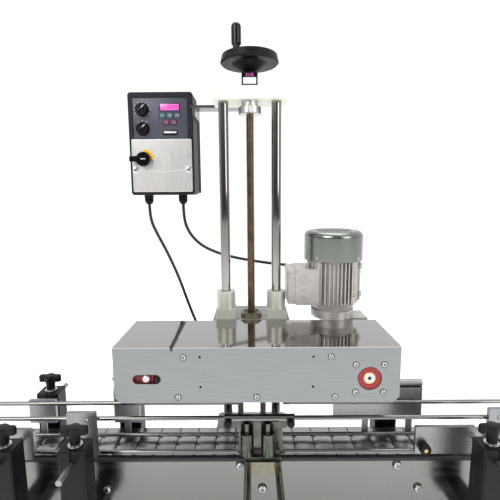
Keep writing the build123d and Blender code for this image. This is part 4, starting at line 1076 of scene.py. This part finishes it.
# %% Case side
side_x = drive_high.x
case_trim = [milled("case_rib", (side_x - 4.5, y, drive_low.z + 6), (side_x - 0.6, y + 3, drive_high.z - 6),
                    case_plastic, 0.8)
             for y in (drive_low.y + 22, drive_low.y + 38, drive_low.y + 54)]
case_trim += [turned("case_boss", (side_x - 1.5, drive_low.y + 30, z), (1, 0, 0),
                     [(5, 0), (5, 1), (4, 1.4)], 20, black_nylon)
              for z in (drive_low.z + 30, drive_high.z - 24)]
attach(join(case_trim, "controller_side_trim"), "frame")

# %% Cable glands
gland_ribs, rib_circle = 12, 9.4
gland_pieces = []
for x in gland_x:
    gland_pieces.append(turned("gland_nut", (x, gland_y, gland_z + 22), (0, 0, -1),
                               [(10.2, 0), (11, 0.6), (11, 7.5), (10.4, 8.2)], 6, black_nylon))
    gland_pieces.append(turned("gland_dome", (x, gland_y, gland_z + 22), (0, 0, -1),
                               [(9.3, 8), (9.5, 9), (9.3, 15), (7.6, 19.5), (4.6, 21.8), (3.4, 22)], 32,
                               black_nylon))
    for k in range(gland_ribs):
        angle = tau * k / gland_ribs
        spot = (x + rib_circle * cos(angle), gland_y + rib_circle * sin(angle), gland_z + 14)
        gland_pieces.append(turned("gland_rib", spot, (0, 0, -1), [(0.8, 0), (1, 0.4), (1, 6), (0.6, 7.5)],
                                   8, black_nylon))
gland_set = join(gland_pieces, "ribbed_cable_glands")
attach(gland_set, "frame")
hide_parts("cable_glands")

# %% [markdown]
# ## The gear motor
# Its end shield, cowl and terminal lid are held by small screws, the lid has stiffening ribs, and a
# gland stands where the cable goes in.

# %% Motor trim
motor_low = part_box("motor_body")[0] / MM
cowl_low, cowl_high = (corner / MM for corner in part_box("fan_cowl"))
motor_x = (cowl_low.x + cowl_high.x) / 2
motor_y = (cowl_low.y + cowl_high.y) / 2
cowl_r = (cowl_high.x - cowl_low.x) / 2
bolt_circle = 49
motor_trim = []
for k in range(4):
    angle = pi / 4 + k * pi / 2
    way = (cos(angle), sin(angle), 0)
    motor_trim.append(button_screw(motor_x + (cowl_r - 0.4) * way[0], motor_y + (cowl_r - 0.4) * way[1],
                                   cowl_low.z + 6, way, 3.2, 1.8))
    spot = (motor_x + bolt_circle * way[0], motor_y + bolt_circle * way[1], motor_low.z + 2)
    motor_trim.append(turned("shield_bolt", spot, (0, 0, -1), [(4.2, 0), (4.6, 0.4), (4.6, 4), (4.1, 4.4)],
                             6, turned_steel))
rim = turned("cowl_rim", (motor_x, motor_y, cowl_low.z), (0, 0, 1),
             [(cowl_r - 0.6, 0.2), (cowl_r + 0.05, 0.4), (cowl_r + 0.05, 2.2), (cowl_r - 0.6, 2.6)], 64,
             zinc_cowl)
motor_trim.append(rim)
motor_trim.append(turned("terminal_gland", (terminal_x, terminal_y, terminal_z), (0, 1, 0),
                         [(9.6, -9), (10, -8.4), (10, -4), (8.2, -3.6), (8, -2), (5, -0.4), (3.6, 0)], 24,
                         black_nylon))
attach(join(motor_trim, "motor_trim"), "head")

# %% Terminal lid
lid_low, lid_high = (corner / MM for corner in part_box("terminal_lid"))
lid_trim = []
for z in (lid_low.z + 18, (lid_low.z + lid_high.z) / 2, lid_high.z - 18):
    lid_trim.append(milled("lid_rib", (lid_low.x - 0.1, lid_low.y + 9, z - 1.5),
                           (lid_low.x + 2, lid_high.y - 9, z + 1.5), cast_aluminium, 0.6))
for y in (lid_low.y + 9, lid_high.y - 9):
    for z in (lid_low.z + 9, lid_high.z - 9):
        lid_trim.append(button_screw(lid_low.x + 1.2, y, z, (-1, 0, 0), 3.4, 1.6))
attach(join(lid_trim, "terminal_lid_trim"), "head")

# %% [markdown]
# ## Height indicator and column top
# A small counter under the handwheel shows the head's height: a blank white window with small pink
# figures above it.
# The rods are held by screws in the top plate.

# %% Indicator and rod screws
counter_low, counter_high = (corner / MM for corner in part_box("position_indicator"))
counter_x = (counter_low.x + counter_high.x) / 2
window = milled("counter_window", (counter_low.x + 3, counter_low.y - 0.3, counter_low.z + 2),
                (counter_high.x - 3, counter_low.y + 0.3, counter_low.z + 14), print_white, 0.3)
digits = figures("counter_figures", "0142", (counter_x, counter_low.y - 0.4, counter_low.z + 18.5), 5.5,
                 display_glass)
rod_low, rod_high = (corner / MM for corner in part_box("guide_rods"))
rod_caps = [button_screw(x, (rod_low.y + rod_high.y) / 2, rod_high.z - 0.3, (0, 0, 1), 7, 3.4)
            for x in (rod_low.x + 10, rod_high.x - 10)]
column_trim = join([window, digits] + rod_caps, "column_trim")
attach(column_trim, "frame")

# %% Handwheel hub
hub_cap = turned("wheel_hub_cap", (screw_x, screw_y, screw_high.z + 0.2), (0, 0, 1),
                 [(9.5, 0), (10, 0.5), (10, 1.6), (8.6, 2.8), (4.4, 3.4), (3.6, 2.6)], 32, turned_steel)
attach(hub_cap, "screw")

# %% [markdown]
# ## Knockouts, through bolts and shaft ends
# Two round knockouts close the unused cable entries in the front of the terminal box. Long bolts run
# beside the motor's fins. A brass spacer, set back a little from the drive shaft's end, shows round
# it inside the red seal, and the tensioner's bolt shows through the slot.

# %% Small round parts
box_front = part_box("terminal_lid")[0].y / MM
knockout_shape = [(10.5, -0.6), (10.5, 0.5), (9.2, 0.9), (8.6, 0.2), (5.5, 0.2), (4.9, 0.8), (2.4, 0.8),
                  (1.8, 0.2)]
small = []
for z in (motor_low.z + 24, motor_low.z + 54):
    spot = (lid_high.x + 19, box_front, z)
    small.append(turned("knockout", spot, (0, -1, 0), knockout_shape, 32, cast_aluminium))
for side in (-1, 1):
    bolt_x = motor_x + side * (cowl_r - 6.5)
    for z in (motor_low.z + 12, motor_low.z + 72):
        small.append(turned("through_bolt_lug", (bolt_x, motor_y - 14, z), (0, 0, 1),
                            [(5, 0), (5.4, 0.8), (5.4, 10), (5, 10.8)], 20, cast_aluminium))
    small.append(turned("through_bolt", (bolt_x, motor_y - 14, motor_low.z + 4), (0, 0, 1),
                        [(2.4, 0), (2.4, 82)], 12, turned_steel))
shaft_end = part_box("drive_shaft")[0].y / MM
end_spot = (shaft_x, shaft_end, shaft_z)
small.append(turned("brass_spacer", end_spot, (0, -1, 0), [(11.6, -1.6), (11.6, -0.3)], 40, brass))
# painted shade: a thin dark disc on the drive shaft's end stands in for the shadow in its centre hole
small.append(turned("shaft_centre_shade", end_spot, (0, -1, 0), [(3.2, 0.05), (2.8, 0.1)], 20, painted_shade_steel))
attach(join(small, "small_round_parts"), "head")
idler_x = (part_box("idler_pulley")[0].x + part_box("idler_pulley")[1].x) / 2 / MM
bolt_end = turned("tensioner_bolt_end", (idler_x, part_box("tension_yoke")[0].y / MM, shaft_z), (0, -1, 0),
                  [(6, -0.5), (6, 0.6), (5.2, 1.2), (2.6, 1.2), (2.4, 0.4)], 24, turned_steel)
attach(bolt_end, "tensioner")

# %% [markdown]
# ## Floor and light
# A plain pale floor runs off into a pale surround. Three large soft lights stand in front, to the
# right and above. Metal looks like metal only when it has something to mirror, so the surround is
# bright behind and above the machine and dimmer towards the front.

# %% Floor
deselect()
bpy.ops.mesh.primitive_circle_add(vertices=64, radius=9, fill_type="NGON", location=(0, 0, -0.0005))
floor = settle(bpy.context.object)
floor.name = "studio_floor"
floor_paint, shader = finish("matt_white_floor", "#f6f6f5", 0, 0.9)
shader.inputs["Emission Color"].default_value = colour("#ffffff")
shader.inputs["Emission Strength"].default_value = 0.25
wear(floor, floor_paint)

# %% Surround
world = bpy.data.worlds.new("pale_studio")
scene.world = world
world.use_nodes = True
surround = world.node_tree.nodes["Background"]
direction = add(world, "ShaderNodeTexCoord").outputs["Generated"]
split = add(world, "ShaderNodeSeparateXYZ", {"Vector": direction})
depth_span = {"Value": split.outputs["Y"], "From Min": -0.6, "From Max": 0.45, "To Min": 0.1, "To Max": 1.0}
depth = add(world, "ShaderNodeMapRange", depth_span).outputs["Result"]
height_span = {"Value": split.outputs["Z"], "From Min": 0.0, "From Max": 0.9, "To Min": 0.0, "To Max": 0.55}
height = add(world, "ShaderNodeMapRange", height_span).outputs["Result"]
total = add(world, "ShaderNodeMath", {0: depth, 1: height}, operation="ADD").outputs[0]
capped = add(world, "ShaderNodeMath", {0: total, 1: 1.0}, operation="MINIMUM").outputs[0]
seen = add(world, "ShaderNodeLightPath").outputs["Is Camera Ray"]
bright = add(world, "ShaderNodeMath", {0: seen, 1: 1.15}, operation="MULTIPLY").outputs[0]
shown = add(world, "ShaderNodeMath", {0: capped, 1: bright}, operation="MAXIMUM").outputs[0]
world.node_tree.links.new(shown, surround.inputs["Strength"])
surround.inputs["Color"].default_value = colour("#fdfdff")

# %% Lamps
for name, place, aim, power, width, tall in (
    ("key_light", (-1.6, -2.2, 2.3), (0, 0, 0.45), 55, 1.6, 1.6),
    ("fill_light", (2.0, -1.8, 1.5), (0, 0, 0.45), 30, 1.4, 1.8),
    ("top_light", (0.2, 0.5, 2.9), (0, 0.1, 0.4), 45, 2.4, 1.6),
):
    lamp = bpy.data.lights.new(name, "AREA")
    lamp.shape = "RECTANGLE"
    lamp.size, lamp.size_y, lamp.energy = width, tall, power
    stand = bpy.data.objects.new(name, lamp)
    stand.location = place
    stand.rotation_euler = (Vector(aim) - Vector(place)).to_track_quat("-Z", "Y").to_euler()
    scene.collection.objects.link(stand)
